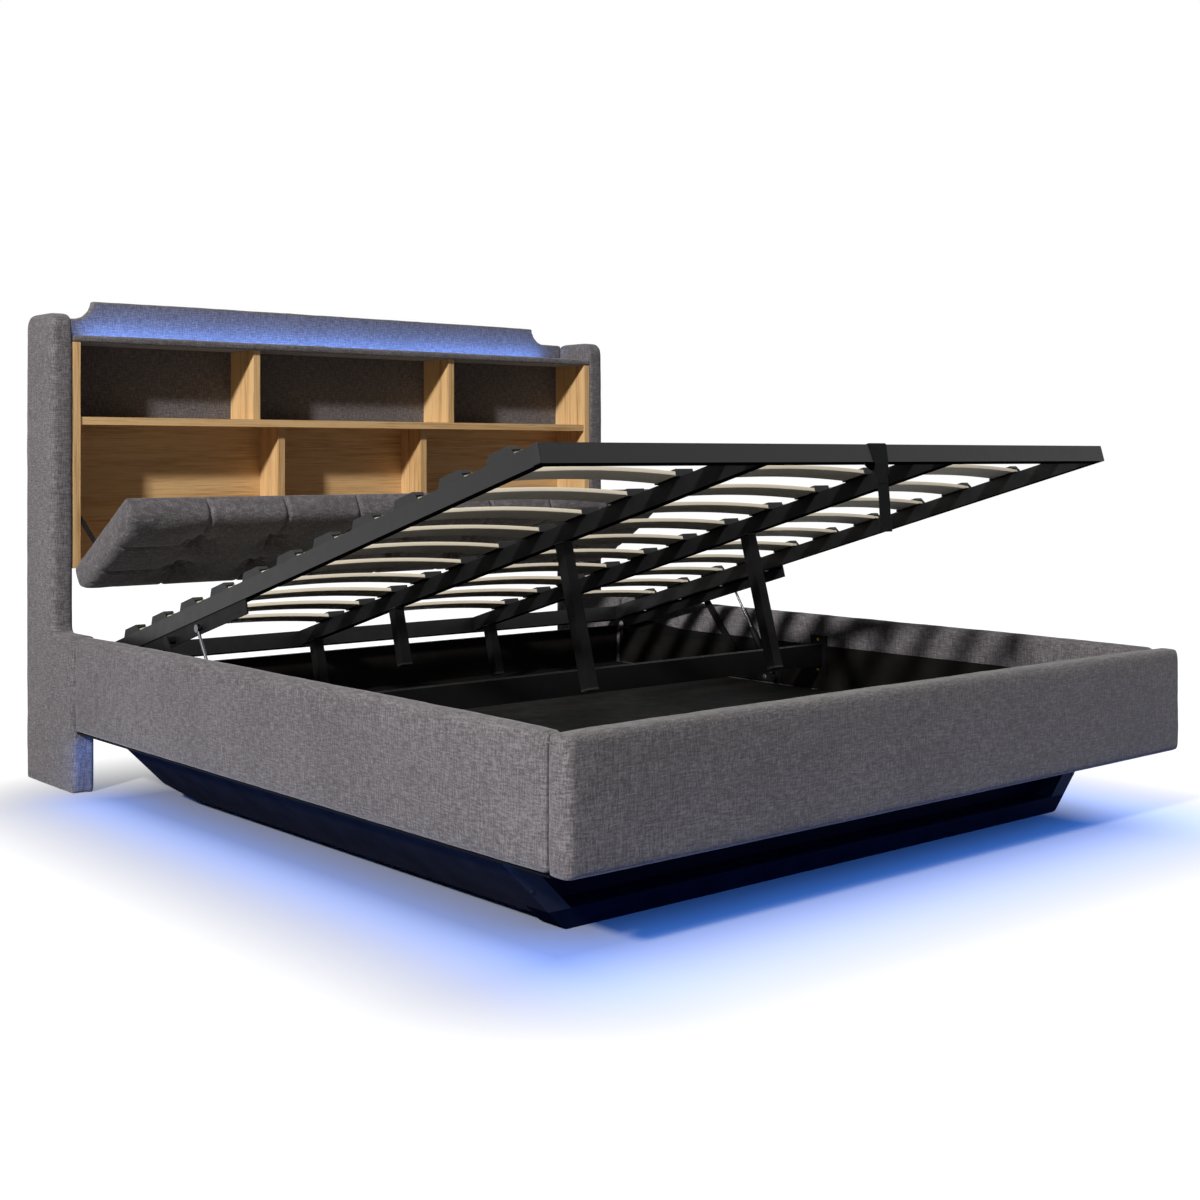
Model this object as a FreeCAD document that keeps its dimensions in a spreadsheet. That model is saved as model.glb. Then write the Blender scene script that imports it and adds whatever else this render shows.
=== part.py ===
import FreeCAD, Part
import math
import os
import Sketcher

# Lift-up storage bed with a bookcase headboard, in millimetres.
# The origin is on the floor under the middle of the bed, +Y runs to the headboard and +Z is up.
# The slatted platform is raised on its gas struts and the backrest flap is folded down.

# Driving dimensions. A place is measured from the outer face of the footboard, a rise from the floor.
SIZES = {
    # Whole bed
    "bed_width": 2030, "bed_length": 2450,
    # Clearances: beside upholstery, in a running fit, between moving plates, and past a cut
    "soft_gap": 0.3, "run_gap": 0.3, "layer_gap": 1.0, "overrun": 5,
    # Wings of the headboard, deep at the foot and shallow above the rails
    "wing_wall": 60, "wing_depth": 188, "wing_step_depth": 335, "wing_height": 1326,
    "wing_corner": 40, "wing_step_round": 22, "wing_soft": 14,
    # Upholstered rails
    "rail_top": 428, "rail_bottom": 169, "rail_wall": 45, "rail_soft": 12, "foot_wall": 66, "foot_soft": 14,
    # Bookcase
    "oak_board": 22, "bookcase_base": 606, "shelf_top": 1034, "shelf_recess": 4,
    "ledge_top": 1265, "ledge_board": 20, "back_panel": 9,
    "backboard_wall": 25, "backboard_top": 1376, "scallop": 52, "scallop_inset": 77.7,
    "upper_divider_place": 364, "upper_divider_recess": 18,
    "lower_divider_place": 267, "lower_divider_recess": 38,
    # LED strips
    "led_wide": 10, "led_tall": 4, "ledge_led_inset": 94.7, "rail_led_inset": 8, "foot_led_inset": 55,
    # Storage box
    "lining": 3, "lining_top": 340, "floor_top": 205, "floor_board": 12, "cleat": 18,
    "head_board": 15, "head_board_top": 330,
    "stop_place": 316, "stop_long": 44, "stop_reach": 48, "stop_tall": 15,
    # Crossbeam of the box
    "beam_reach": 877, "beam_wide": 30, "beam_bottom": 280, "beam_top": 345, "tube_wall": 2,
    "beam_plate": 4, "beam_plate_wide": 65, "beam_plate_margin": 26,
    "screw_radius": 4.5, "screw_rise": 3, "screw_margin": 12,
    # Base
    "sled_place": 244, "sled_deep": 72, "sled_bar": 40, "sled_inset": 190, "sled_round": 28,
    "skirt_wall": 15, "skirt_base": 24, "skirt_head_gap": 253, "skirt_clip_long": 100, "skirt_clip_tall": 26,
    "kick_wall": 12, "kick_base": 12,
    # Lift linkage: a reach is measured from the lift pivot to the foot
    "pivot_inset": 55, "pivot_rise": 341, "lift_angle": 16.1, "lift_plate": 4,
    "pivot_radius": 6, "pivot_shoulder": 10, "pivot_head": 4, "lug_margin": 22,
    "link_reach": 400, "link_length": 198.4, "link_radius": 12, "link_pin_radius": 4,
    "slot_rise": 300, "link_slot_gap": 1.2,
    "strut_foot_reach": 702, "strut_rise": 224, "strut_reach": 552, "strut_radius": 9, "rod_radius": 4,
    "eye_radius": 10, "eye_wide": 9, "strut_neck": 14, "strut_body": 165, "rod_overlap": 14, "strut_end": 12,
    "bracket_tall": 28, "bracket_reach": 790, "bracket_inset": 3.3,
    # Platform: a rise here is measured square to the platform from the lift pivot
    "platform_foot_gap": 22, "head_overhang": 31, "frame_rise": 23, "frame_tall": 41, "frame_wide": 25,
    "head_tall": 46, "mid_place": 320, "mid_wide": 30,
    "leg_wide": 30, "near_leg_reach": 60, "middle_leg_reach": 500, "post_reach": 1255, "post_foot_gap": 2,
    "post_swing": 62, "slot_clear": 6,
    "slat_first": 157, "slat_last": 128, "slat_wide": 70, "slat_thick": 10, "slat_rise": 16,
    "cap_long": 92, "cap_crest": 66, "cap_tall": 20, "cap_lap": 6,
    "sleeve_wall": 3, "sleeve_reach": 12, "sleeve_tall": 18,
    # Pull strap on the foot rail
    "strap_place": 40, "strap_wide": 58, "strap_thick": 2.5, "tail_wide": 36, "strap_tail": 156,
    # Backrest flap
    "flap_angle": 58, "flap_length": 394, "flap_lap": 9, "flap_board": 15, "flap_cushion": 74,
    "flap_drop": 6, "flap_front": 6, "flap_back_gap": 2, "flap_foot": 8, "flap_margin": 4,
    "flap_crown": 14, "flap_round": 24, "tuft_margin": 244, "channel_depth": 7, "channel_radius": 30,
    "tuft_depth": 20, "tuft_radius": 45,
    # Flap hinges and stays
    "knuckle_radius": 4, "knuckle_long": 20, "hinge_leaf": 2, "hinge_inset": 264, "leaf_long": 34,
    "stay_plate": 3, "stay_radius": 9, "stay_pin_radius": 3, "stay_reach": 118, "stay_back": 14,
    "guide_inset": 10, "guide_rise": 745, "guide_tall": 30, "guide_long": 134, "guide_plate": 2.5,
}
SLAT_COUNT = 11
TUFT_COLUMNS = 7
TUFT_ROWS = 2
SIDES = {"left": -1, "right": 1}

doc = FreeCAD.newDocument("storage_bed")
sheet = doc.addObject("Spreadsheet::Sheet", "Sizes")
for row, (name, number) in enumerate(SIZES.items(), start=1):
    sheet.set(f"A{row}", name)
    sheet.set(f"B{row}", str(number))
    sheet.setAlias(f"B{row}", name)
doc.recompute()


class Size:
    """A length that keeps its formula: the number for Python, the text for the document's expressions."""

    def __init__(self, value, text):
        self.value = value
        self.text = text

    def __add__(self, other):
        other = as_size(other)
        return Size(self.value + other.value, f"({self.text} + {other.text})")

    def __sub__(self, other):
        other = as_size(other)
        return Size(self.value - other.value, f"({self.text} - {other.text})")

    def __mul__(self, other):
        other = as_size(other)
        return Size(self.value * other.value, f"({self.text} * {other.text})")

    def __truediv__(self, other):
        other = as_size(other)
        return Size(self.value / other.value, f"({self.text} / {other.text})")

    def __neg__(self):
        return Size(-self.value, f"(-{self.text})")


def as_size(number):
    return number if isinstance(number, Size) else Size(float(number), f"({float(number)!r})")


def cosine(angle):
    return Size(math.cos(math.radians(angle.value)), f"cos({angle.text} * 1 deg)")


def sine(angle):
    return Size(math.sin(math.radians(angle.value)), f"sin({angle.text} * 1 deg)")


class Cells:
    """The sheet's cells by name, as sizes."""

    def __getattr__(self, name):
        return Size(float(sheet.get(name)), f"Sizes.{name}")


cell = Cells()
NOWHERE = as_size(0)


class Turned:
    """A set of axes at a point of the bed's middle plane, turned about X."""

    def __init__(self, y, z, angle):
        self.y = y
        self.z = z
        self.angle = angle

    def point(self, y, z):
        across, along = cosine(self.angle), sine(self.angle)
        return self.y + y * across - z * along, self.z + y * along + z * across


BED = Turned(NOWHERE, NOWHERE, NOWHERE)
X_AXIS = FreeCAD.Vector(1, 0, 0)
Y_AXIS = FreeCAD.Vector(0, 1, 0)
nodes = {}


def bind(item, **sizes):
    for name, size in sizes.items():
        item.setExpression(name, as_size(size).text)


def place(item, x, y, z, axes=BED):
    """Put an object at a point of the given axes, and turn it with them."""
    y, z = axes.point(as_size(y), as_size(z))
    item.Placement = FreeCAD.Placement(
        FreeCAD.Vector(as_size(x).value, y.value, z.value), FreeCAD.Rotation(X_AXIS, axes.angle.value))
    bind(item, **{"Placement.Base.x": x, "Placement.Base.y": y, "Placement.Base.z": z})
    if axes.angle.value:
        item.setExpression("Placement.Rotation.Angle", f"{axes.angle.text} * 1 deg")
    return item


def board(label, x, y, z, axes=BED):
    """A flat piece between two values along each axis."""
    item = doc.addObject("Part::Box", label)
    bind(item, Length=x[1] - x[0], Width=y[1] - y[0], Height=z[1] - z[0])
    return place(item, x[0], y[0], z[0], axes)


def pin(label, x, y, z, radius, axes=BED):
    """A round bar along X."""
    item = doc.addObject("Part::Cylinder", label)
    bind(item, Radius=radius, Height=x[1] - x[0])
    place(item, x[0], y, z, axes)
    item.setExpression("Placement.Rotation.Angle", None)
    item.Placement = FreeCAD.Placement(item.Placement.Base, FreeCAD.Rotation(Y_AXIS, 90))
    return item


def rod(label, x, y, z, radius, axes):
    """A round bar along the axes' own Z."""
    item = doc.addObject("Part::Cylinder", label)
    bind(item, Radius=radius, Height=z[1] - z[0])
    return place(item, x, y, z[0], axes)


def fuse(label, pieces):
    item = doc.addObject("Part::MultiFuse", label)
    item.Shapes = pieces
    item.Refine = True
    return item


def cut(label, base, tools):
    tool = tools[0] if len(tools) == 1 else fuse(f"{label}_tools", tools)
    item = doc.addObject("Part::Cut", label)
    item.Base = base
    item.Tool = tool
    return item


def group(label, pieces):
    """Like pieces in one node, each a solid of its own."""
    item = doc.addObject("Part::Compound", label)
    item.Links = pieces
    return item


def shaped(label, shape, x=NOWHERE, y=NOWHERE, z=NOWHERE, axes=BED):
    """A piece made with Part's own functions."""
    item = doc.addObject("Part::Feature", label)
    item.Shape = shape
    return place(item, x, y, z, axes)


def node(label, item):
    item.Label = label
    nodes[label] = item
    return item


def tube(label, x, y, z, along, axes=BED):
    """A square tube with its bore along one axis."""
    spans = {"x": x, "y": y, "z": z}
    bores = {}
    for axis, (low, high) in spans.items():
        margin = -cell.overrun if axis == along else cell.tube_wall
        bores[axis] = (low + margin, high - margin)
    outside = board(f"{label}_outside", x, y, z, axes)
    inside = board(f"{label}_bore", bores["x"], bores["y"], bores["z"], axes)
    return cut(label, outside, [inside])


def outline_body(label, plane, corners, depth, x, y, z):
    """A body padded from a closed outline, whose corners are held by sizes of the sheet."""
    body = doc.addObject("PartDesign::Body", label)
    sketch = body.newObject("Sketcher::SketchObject", f"{label}_outline")
    support = next(item for item in body.Origin.OriginFeatures if item.Role == plane)
    sketch.AttachmentSupport = [(support, "")]
    sketch.MapMode = "FlatFace"
    corners = [(as_size(u), as_size(v)) for u, v in corners]
    points = [FreeCAD.Vector(u.value, v.value, 0) for u, v in corners]
    for start, end in zip(points, points[1:] + points[:1]):
        sketch.addGeometry(Part.LineSegment(start, end), False)
    for index in range(len(points)):
        following = (index + 1) % len(points)
        sketch.addConstraint(Sketcher.Constraint("Coincident", index, 2, following, 1))
    for index, corner in enumerate(corners):
        for size, kind, axis in zip(corner, ("DistanceX", "DistanceY"), (-2, -1)):
            if size.value == 0:
                sketch.addConstraint(Sketcher.Constraint("PointOnObject", index, 1, axis))
                continue
            held = sketch.addConstraint(Sketcher.Constraint(kind, -1, 1, index, 1, size.value))
            sketch.setExpression(f"Constraints[{held}]", size.text)
    pad = body.newObject("PartDesign::Pad", f"{label}_pad")
    pad.Profile = sketch
    bind(pad, Length=depth)
    body.Tip = pad
    place(body, x, y, z)
    doc.recompute()
    return body


def round_edges(body, radius, wanted):
    """Round the edges of a body's last feature that the test picks."""
    last = body.Tip
    names = [f"Edge{number}" for number, edge in enumerate(last.Shape.Edges, start=1) if wanted(edge)]
    item = body.newObject("PartDesign::Fillet", f"{body.Name}_round")
    item.Base = (last, names)
    bind(item, Radius=radius)
    body.Tip = item
    doc.recompute()
    return body


def edge_runs(edge, axis):
    """Whether an edge is straight along one axis."""
    start, end = edge.Vertexes[0].Point, edge.Vertexes[-1].Point
    step = [abs(a - b) for a, b in zip(start, end)]
    return sum(step) > 0 and math.isclose(step["xyz".index(axis)], sum(step))


def edge_at(edge, axis, size):
    """Whether a whole edge lies in a plane square to one axis."""
    box = edge.BoundBox
    low, high = {"x": (box.XMin, box.XMax), "y": (box.YMin, box.YMax), "z": (box.ZMin, box.ZMax)}[axis]
    value = as_size(size).value
    return math.isclose(low, value, abs_tol=1e-6) and math.isclose(high, value, abs_tol=1e-6)


def mirrored(sign, near, far):
    """The span between two distances from the middle plane, on one side of the bed."""
    return (near, far) if sign > 0 else (-far, -near)


# Places that several pieces share
half = cell.bed_width / 2
back = cell.bed_length / 2
foot = -back
inner = half - cell.rail_wall
wing_inner = half - cell.wing_wall
wing_front = back - cell.wing_depth
step_front = back - cell.wing_step_depth
box_foot = foot + cell.foot_wall
board_front = back - cell.backboard_wall
lined = inner - cell.lining
bookcase_half = wing_inner - cell.soft_gap
bay_half = bookcase_half - cell.oak_board
bay_floor = cell.bookcase_base + cell.oak_board
shelf_under = cell.shelf_top - cell.oak_board
ledge_under = cell.ledge_top - cell.ledge_board
scallop_place = bookcase_half - cell.scallop_inset
sled_half = half - cell.sled_inset
flap_half = wing_inner + cell.flap_lap
under_rail = cell.rail_bottom - cell.soft_gap

# Plates of the lift linkage, from the side rail inwards
low_bracket = (lined - cell.lift_plate, lined)
link_span = (low_bracket[0] - cell.layer_gap - cell.lift_plate, low_bracket[0] - cell.layer_gap)
strut_middle = link_span[0] - cell.layer_gap - cell.layer_gap - cell.strut_radius
eye_span = (strut_middle - cell.eye_wide / 2, strut_middle + cell.eye_wide / 2)
flange_outer = strut_middle - cell.strut_radius - cell.layer_gap - cell.run_gap
flange_span = (flange_outer - cell.lift_plate, flange_outer)
platform_half = flange_outer + cell.bracket_inset
frame_inner = platform_half - cell.frame_wide

# Axes of the raised platform and of the folded flap, each at its pivot
pivot_y = step_front - cell.pivot_inset
platform_reach = pivot_y - box_foot - cell.platform_foot_gap
strut_y = pivot_y - cell.strut_foot_reach
beam_y = pivot_y - cell.beam_reach
PLATFORM = Turned(pivot_y, cell.pivot_rise, -cell.lift_angle)
flap_y = wing_front - cell.flap_front
flap_z = cell.bookcase_base - cell.flap_drop
FLAP = Turned(flap_y, flap_z, cell.flap_angle)


def make_wings():
    """Upholstered wings, stepped forward below the rails' top and soft along every edge."""
    step = cell.wing_step_depth
    upper = step - cell.wing_depth
    corners = [(0, 0), (step, 0), (step, cell.wing_height), (upper, cell.wing_height),
               (upper, cell.rail_top), (0, cell.rail_top)]
    for side, sign in SIDES.items():
        x = mirrored(sign, wing_inner, half)[0]
        body = outline_body(f"{side}_wing", "YZ_Plane", corners, cell.wing_wall, x, step_front, 0)
        round_edges(body, cell.wing_corner,
                    lambda edge: edge_runs(edge, "x") and edge_at(edge, "z", cell.wing_height))
        round_edges(body, cell.wing_step_round,
                    lambda edge: edge_runs(edge, "x") and edge_at(edge, "z", cell.rail_top)
                    and edge_at(edge, "y", upper))
        outer = 0 if sign < 0 else cell.wing_wall
        round_edges(body, cell.wing_soft,
                    lambda edge: edge_at(edge, "x", outer) and not edge_at(edge, "z", 0)
                    and not edge_at(edge, "y", 0))
        node(f"{side}_wing", body)


def make_backboard():
    """Upholstered backboard with a concave scallop at each top corner."""
    y = (board_front, back)
    shoulder = cell.backboard_top - cell.scallop
    lower = board("backboard_lower", (-bookcase_half, bookcase_half), y, (cell.bookcase_base, shoulder))
    upper = board("backboard_upper", (-scallop_place, scallop_place), y, (shoulder, cell.backboard_top))
    bites = []
    for side, sign in SIDES.items():
        bite = doc.addObject("Part::Cylinder", f"backboard_{side}_scallop")
        bind(bite, Radius=cell.scallop, Height=cell.backboard_wall + cell.overrun * 2)
        place(bite, scallop_place * sign, back + cell.overrun, cell.backboard_top)
        bite.Placement = FreeCAD.Placement(bite.Placement.Base, FreeCAD.Rotation(X_AXIS, 90))
        bites.append(bite)
    node("backboard", cut("backboard", fuse("backboard_blank", [lower, upper]), bites))


def make_bookcase():
    """Oak carcass between the wings, with an upholstered ledge on top."""
    depth = (wing_front, board_front)
    for side, sign in SIDES.items():
        name = f"bookcase_{side}_side"
        x = mirrored(sign, bay_half, bookcase_half)
        node(name, board(name, x, depth, (cell.bookcase_base, ledge_under)))
    bay = (-bay_half, bay_half)
    node("bookcase_bottom", board("bookcase_bottom", bay, depth, (cell.bookcase_base, bay_floor)))
    shelf_depth = (wing_front + cell.shelf_recess, board_front)
    node("middle_shelf", board("middle_shelf", bay, shelf_depth, (shelf_under, cell.shelf_top)))
    panel_front = board_front - cell.back_panel
    panel_depth = (panel_front, board_front)
    node("lower_back_panel", board("lower_back_panel", bay, panel_depth, (bay_floor, shelf_under)))
    rows = {
        "upper_dividers": (cell.upper_divider_place, cell.upper_divider_recess, board_front,
                           (cell.shelf_top, ledge_under)),
        "lower_dividers": (cell.lower_divider_place, cell.lower_divider_recess, panel_front,
                           (bay_floor, shelf_under)),
    }
    for name, (middle, recess, end, height) in rows.items():
        near, far = middle - cell.oak_board / 2, middle + cell.oak_board / 2
        pair = [board(f"{name}_{side}", mirrored(sign, near, far), (wing_front + recess, end), height)
                for side, sign in SIDES.items()]
        node(name, group(name, pair))
    ledge_span = (-bookcase_half, bookcase_half)
    node("top_ledge", board("top_ledge", ledge_span, depth, (ledge_under, cell.ledge_top)))
    led_half = bookcase_half - cell.ledge_led_inset
    led = board("headboard_led_strip", (-led_half, led_half),
                (board_front - cell.led_wide, board_front), (cell.ledge_top, cell.ledge_top + cell.led_tall))
    node("headboard_led_strip", led)


def make_rails():
    """Upholstered side rails and footboard, rounded where the fabric wraps over."""
    tall = cell.rail_top - cell.rail_bottom
    run = step_front - box_foot - cell.soft_gap * 2
    section = [(0, 0), (cell.rail_wall, 0), (cell.rail_wall, tall), (0, tall)]
    for side, sign in SIDES.items():
        x = mirrored(sign, inner, half)[0]
        head = step_front - cell.soft_gap
        body = outline_body(f"{side}_rail", "XZ_Plane", section, run, x, head, cell.rail_bottom)
        round_edges(body, cell.rail_soft, lambda edge: edge_runs(edge, "y"))
        node(f"{side}_rail", body)
    section = [(0, 0), (cell.foot_wall, 0), (cell.foot_wall, tall), (0, tall)]
    body = outline_body("footboard", "YZ_Plane", section, cell.bed_width, -half, foot, cell.rail_bottom)
    round_edges(body, cell.foot_soft, lambda edge: edge_runs(edge, "x") or edge_at(edge, "y", 0))
    node("footboard", body)


def make_box():
    """Lining, floor and fittings of the storage box."""
    lined_foot = box_foot + cell.lining
    lining_height = (cell.floor_top, cell.lining_top)
    pieces = [board(f"lining_{side}", mirrored(sign, lined, inner), (lined_foot, step_front), lining_height)
              for side, sign in SIDES.items()]
    pieces.append(board("lining_foot", (-inner, inner), (box_foot, lined_foot), lining_height))
    node("box_linings", group("box_linings", pieces))
    head_end = step_front + cell.head_board
    head_height = (cell.floor_top, cell.head_board_top)
    head_x = (-bookcase_half, bookcase_half)
    node("head_board", board("head_board", head_x, (step_front, head_end), head_height))
    floor_under = cell.floor_top - cell.floor_board
    floor_height = (floor_under, cell.floor_top)
    node("storage_floor_head", board("storage_floor_head", head_x, (beam_y, head_end), floor_height))
    panel = board("floor_foot_panel", (-inner, inner), (box_foot, beam_y), floor_height)
    slots = []
    slot_y = (pivot_y - cell.post_reach - cell.leg_wide / 2 - cell.post_swing - cell.slot_clear,
              pivot_y - cell.post_reach + cell.leg_wide / 2 + cell.slot_clear)
    slot_half = cell.leg_wide / 2 + cell.slot_clear
    for side, sign in SIDES.items():
        slot_x = mirrored(sign, cell.mid_place - slot_half, cell.mid_place + slot_half)
        slots.append(board(f"floor_slot_{side}", slot_x, slot_y,
                           (floor_under - cell.overrun, cell.floor_top + cell.overrun)))
    node("storage_floor_foot", cut("storage_floor_foot", panel, slots))
    cleats = [board(f"cleat_{side}", mirrored(sign, inner - cell.cleat, inner), (box_foot, step_front),
                    (floor_under - cell.cleat, floor_under)) for side, sign in SIDES.items()]
    node("floor_cleats", group("floor_cleats", cleats))
    stops = [board(f"stop_{side}", mirrored(sign, inner - cell.stop_reach, inner),
                   (foot + cell.stop_place, foot + cell.stop_place + cell.stop_long),
                   (cell.pivot_rise + cell.frame_rise - cell.run_gap - cell.stop_tall,
                    cell.pivot_rise + cell.frame_rise - cell.run_gap)) for side, sign in SIDES.items()]
    node("corner_stops", group("corner_stops", stops))


def make_crossbeam():
    """Steel tube across the box, on a screwed plate at each side."""
    reach = lined - cell.beam_plate
    span = (beam_y - cell.beam_wide / 2, beam_y + cell.beam_wide / 2)
    node("crossbeam", tube("crossbeam", (-reach, reach), span, (cell.beam_bottom, cell.beam_top), "x"))
    plate_height = (cell.beam_bottom - cell.beam_plate_margin, cell.beam_top + cell.beam_plate_margin)
    plate_span = (beam_y - cell.beam_plate_wide / 2, beam_y + cell.beam_plate_wide / 2)
    screw_rises = {"low": plate_height[0] + cell.screw_margin, "high": plate_height[1] - cell.screw_margin}
    plates = []
    screws = []
    for side, sign in SIDES.items():
        plates.append(board(f"beam_plate_{side}", mirrored(sign, reach, lined), plate_span, plate_height))
        head = mirrored(sign, reach - cell.screw_rise, reach)
        for level, rise in screw_rises.items():
            screws.append(pin(f"beam_screw_{side}_{level}", head, beam_y, rise, cell.screw_radius))
    node("crossbeam_brackets", group("crossbeam_brackets", plates))
    node("crossbeam_screws", group("crossbeam_screws", screws))


def make_base():
    """Recessed base: a sled frame at the foot, slanted skirts along the sides and a kick panel."""
    sled_head = foot + cell.sled_place + cell.sled_deep
    flare = sled_half + cell.sled_bar
    corners = [(-sled_half, 0), (sled_half, 0), (flare, cell.sled_bar), (-flare, cell.sled_bar)]
    body = outline_body("foot_sled_bar", "XZ_Plane", corners, cell.sled_deep, 0, sled_head, 0)
    round_edges(body, cell.sled_round, lambda edge: edge_runs(edge, "y") and edge_at(edge, "z", 0))
    node("foot_sled_bar", body)
    root = cell.sled_bar * math.sqrt(2)
    rise = under_rail - cell.sled_bar
    legs = []
    for side, sign in SIDES.items():
        corners = [(flare * sign, cell.sled_bar), ((flare + rise) * sign, under_rail),
                   ((flare + rise - root) * sign, under_rail), ((flare - root) * sign, cell.sled_bar)]
        legs.append(outline_body(f"sled_leg_{side}", "XZ_Plane", corners, cell.sled_deep, 0, sled_head, 0))
    node("foot_sled_legs", group("foot_sled_legs", legs))
    thick = cell.skirt_wall * math.sqrt(2)
    low, high = sled_half + cell.skirt_base, sled_half + under_rail
    skirt_foot = sled_head + cell.soft_gap
    clip_angle = as_size(math.degrees(math.atan2(cell.skirt_clip_tall.value, cell.skirt_clip_long.value)))
    skirt_head = step_front - cell.skirt_head_gap
    for side, sign in SIDES.items():
        corners = [(low * sign, cell.skirt_base), (high * sign, under_rail),
                   ((high - thick) * sign, under_rail), ((low - thick) * sign, cell.skirt_base)]
        length = skirt_head - skirt_foot
        blank = outline_body(f"{side}_skirt_blank", "XZ_Plane", corners, length, 0, skirt_head, 0)
        clip = Turned(skirt_head - cell.skirt_clip_long, cell.skirt_base, clip_angle)
        corner = board(f"{side}_skirt_corner", mirrored(sign, low - thick - cell.overrun, high),
                       (NOWHERE, cell.skirt_clip_long * 2), (-cell.skirt_clip_long, NOWHERE), clip)
        node(f"{side}_skirt", cut(f"{side}_skirt", blank, [corner]))
    kick_low = sled_half + cell.kick_base - thick - cell.soft_gap
    kick_high = high - thick - cell.soft_gap
    corners = [(-kick_low, cell.kick_base), (kick_low, cell.kick_base),
               (kick_high, under_rail), (-kick_high, under_rail)]
    kick_head = sled_head + cell.kick_wall
    node("kick_panel", outline_body("kick_panel", "XZ_Plane", corners, cell.kick_wall, 0, kick_head, 0))
    led_height = (under_rail - cell.led_tall, under_rail)
    far = half - cell.rail_led_inset
    strips = []
    for side, sign in SIDES.items():
        x = mirrored(sign, far - cell.led_wide, far)
        strips.append(board(f"rail_led_{side}", x, (box_foot, step_front), led_height))
    led_foot = foot + cell.foot_wall / 2
    foot_led_half = half - cell.foot_led_inset
    strips.append(board("foot_led", (-foot_led_half, foot_led_half),
                        (led_foot, led_foot + cell.led_wide), led_height))
    node("base_led_strips", group("base_led_strips", strips))


def link_pin_path(share):
    """Where the stay link's lower pin is, when the platform has closed by a share of its lift."""
    lift = cell.lift_angle.value
    reach, length = cell.link_reach.value, cell.link_length.value
    drop = cell.pivot_rise.value - cell.slot_rise.value
    turns = [180 + math.degrees(math.asin((drop + reach * math.sin(math.radians(angle))) / length))
             for angle in (lift, 0)]
    angle = math.radians(lift * (1 - share))
    turn = math.radians(turns[0] + (turns[1] - turns[0]) * share)
    y = pivot_y.value - reach * math.cos(angle) + length * math.cos(turn)
    z = cell.pivot_rise.value + reach * math.sin(angle) + length * math.sin(turn)
    return y, z


def slot_cutter(label, x):
    """The curved slot that the stay link's pin runs in."""
    radius = cell.link_pin_radius.value + cell.link_slot_gap.value
    path = [FreeCAD.Vector(x[0].value - cell.overrun.value, *link_pin_path(share)) for share in (0, 0.5, 1)]
    line = Part.Arc(*path).toShape().Curve
    middle = line.Center
    across = []
    for offset in (radius, -radius):
        across.append([middle + (point - middle) * (1 + offset / line.Radius) for point in path])
    far, near = across
    caps = []
    for index, sign in ((2, 1), (0, -1)):
        tangent = (path[2] - path[0]).normalize() * radius * sign
        caps.append(path[index] + tangent)
    edges = [Part.Arc(*far).toShape(), Part.Arc(far[2], caps[0], near[2]).toShape(),
             Part.Arc(near[2], near[1], near[0]).toShape(), Part.Arc(near[0], caps[1], far[0]).toShape()]
    width = (x[1] - x[0]).value + 2 * cell.overrun.value
    return shaped(label, Part.Face(Part.Wire(edges)).extrude(X_AXIS * width))


def make_lower_brackets():
    """Steel plates on the side rails, with the lift pivots, the strut pivots and the stay links' slots."""
    slot_foot, slot_head = link_pin_path(1)[0], link_pin_path(0)[0]
    margin = cell.lug_margin
    slot_foot, slot_head = as_size(slot_foot) - margin, as_size(slot_head) + margin
    low, neck = cell.floor_top + cell.lift_plate, cell.pivot_rise - margin
    crest = cell.slot_rise + margin
    corners = [(strut_y - margin, low), (slot_head - margin, low), (slot_head + margin, neck),
               (pivot_y + margin, neck), (pivot_y + margin, cell.pivot_rise + margin),
               (pivot_y - margin, cell.pivot_rise + margin), (slot_head, crest), (slot_foot, crest),
               (strut_y - margin, cell.strut_rise + margin)]
    pins = []
    for side, sign in SIDES.items():
        name = f"{side}_lower_bracket"
        x = mirrored(sign, *low_bracket)
        plate = outline_body(f"{side}_lower_plate", "YZ_Plane", corners, cell.lift_plate, x[0], 0, 0)
        node(name, cut(name, plate, [slot_cutter(f"{side}_link_slot", x)]))
        face = low_bracket[0]
        shoulder_end = flange_span[1] + cell.run_gap
        head_end = flange_span[0] - cell.run_gap
        shoulder = pin(f"{side}_pivot_shoulder", mirrored(sign, shoulder_end, face), pivot_y, cell.pivot_rise,
                       cell.pivot_shoulder)
        shank = pin(f"{side}_pivot_shank", mirrored(sign, head_end, shoulder_end), pivot_y, cell.pivot_rise,
                    cell.pivot_radius)
        head = pin(f"{side}_pivot_head", mirrored(sign, head_end - cell.pivot_head, head_end), pivot_y,
                   cell.pivot_rise, cell.pivot_shoulder)
        pins.append(fuse(f"{side}_lift_pivot", [shoulder, shank, head]))
        stud_end = eye_span[0] - cell.run_gap
        stud = pin(f"{side}_strut_stud", mirrored(sign, stud_end, face), strut_y, cell.strut_rise,
                   cell.rod_radius)
        collar = pin(f"{side}_strut_collar", mirrored(sign, eye_span[1] + cell.run_gap, face), strut_y,
                     cell.strut_rise, cell.pivot_radius)
        pins.append(fuse(f"{side}_strut_pivot", [stud, collar]))
    node("pivot_pins", group("pivot_pins", pins))


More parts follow.
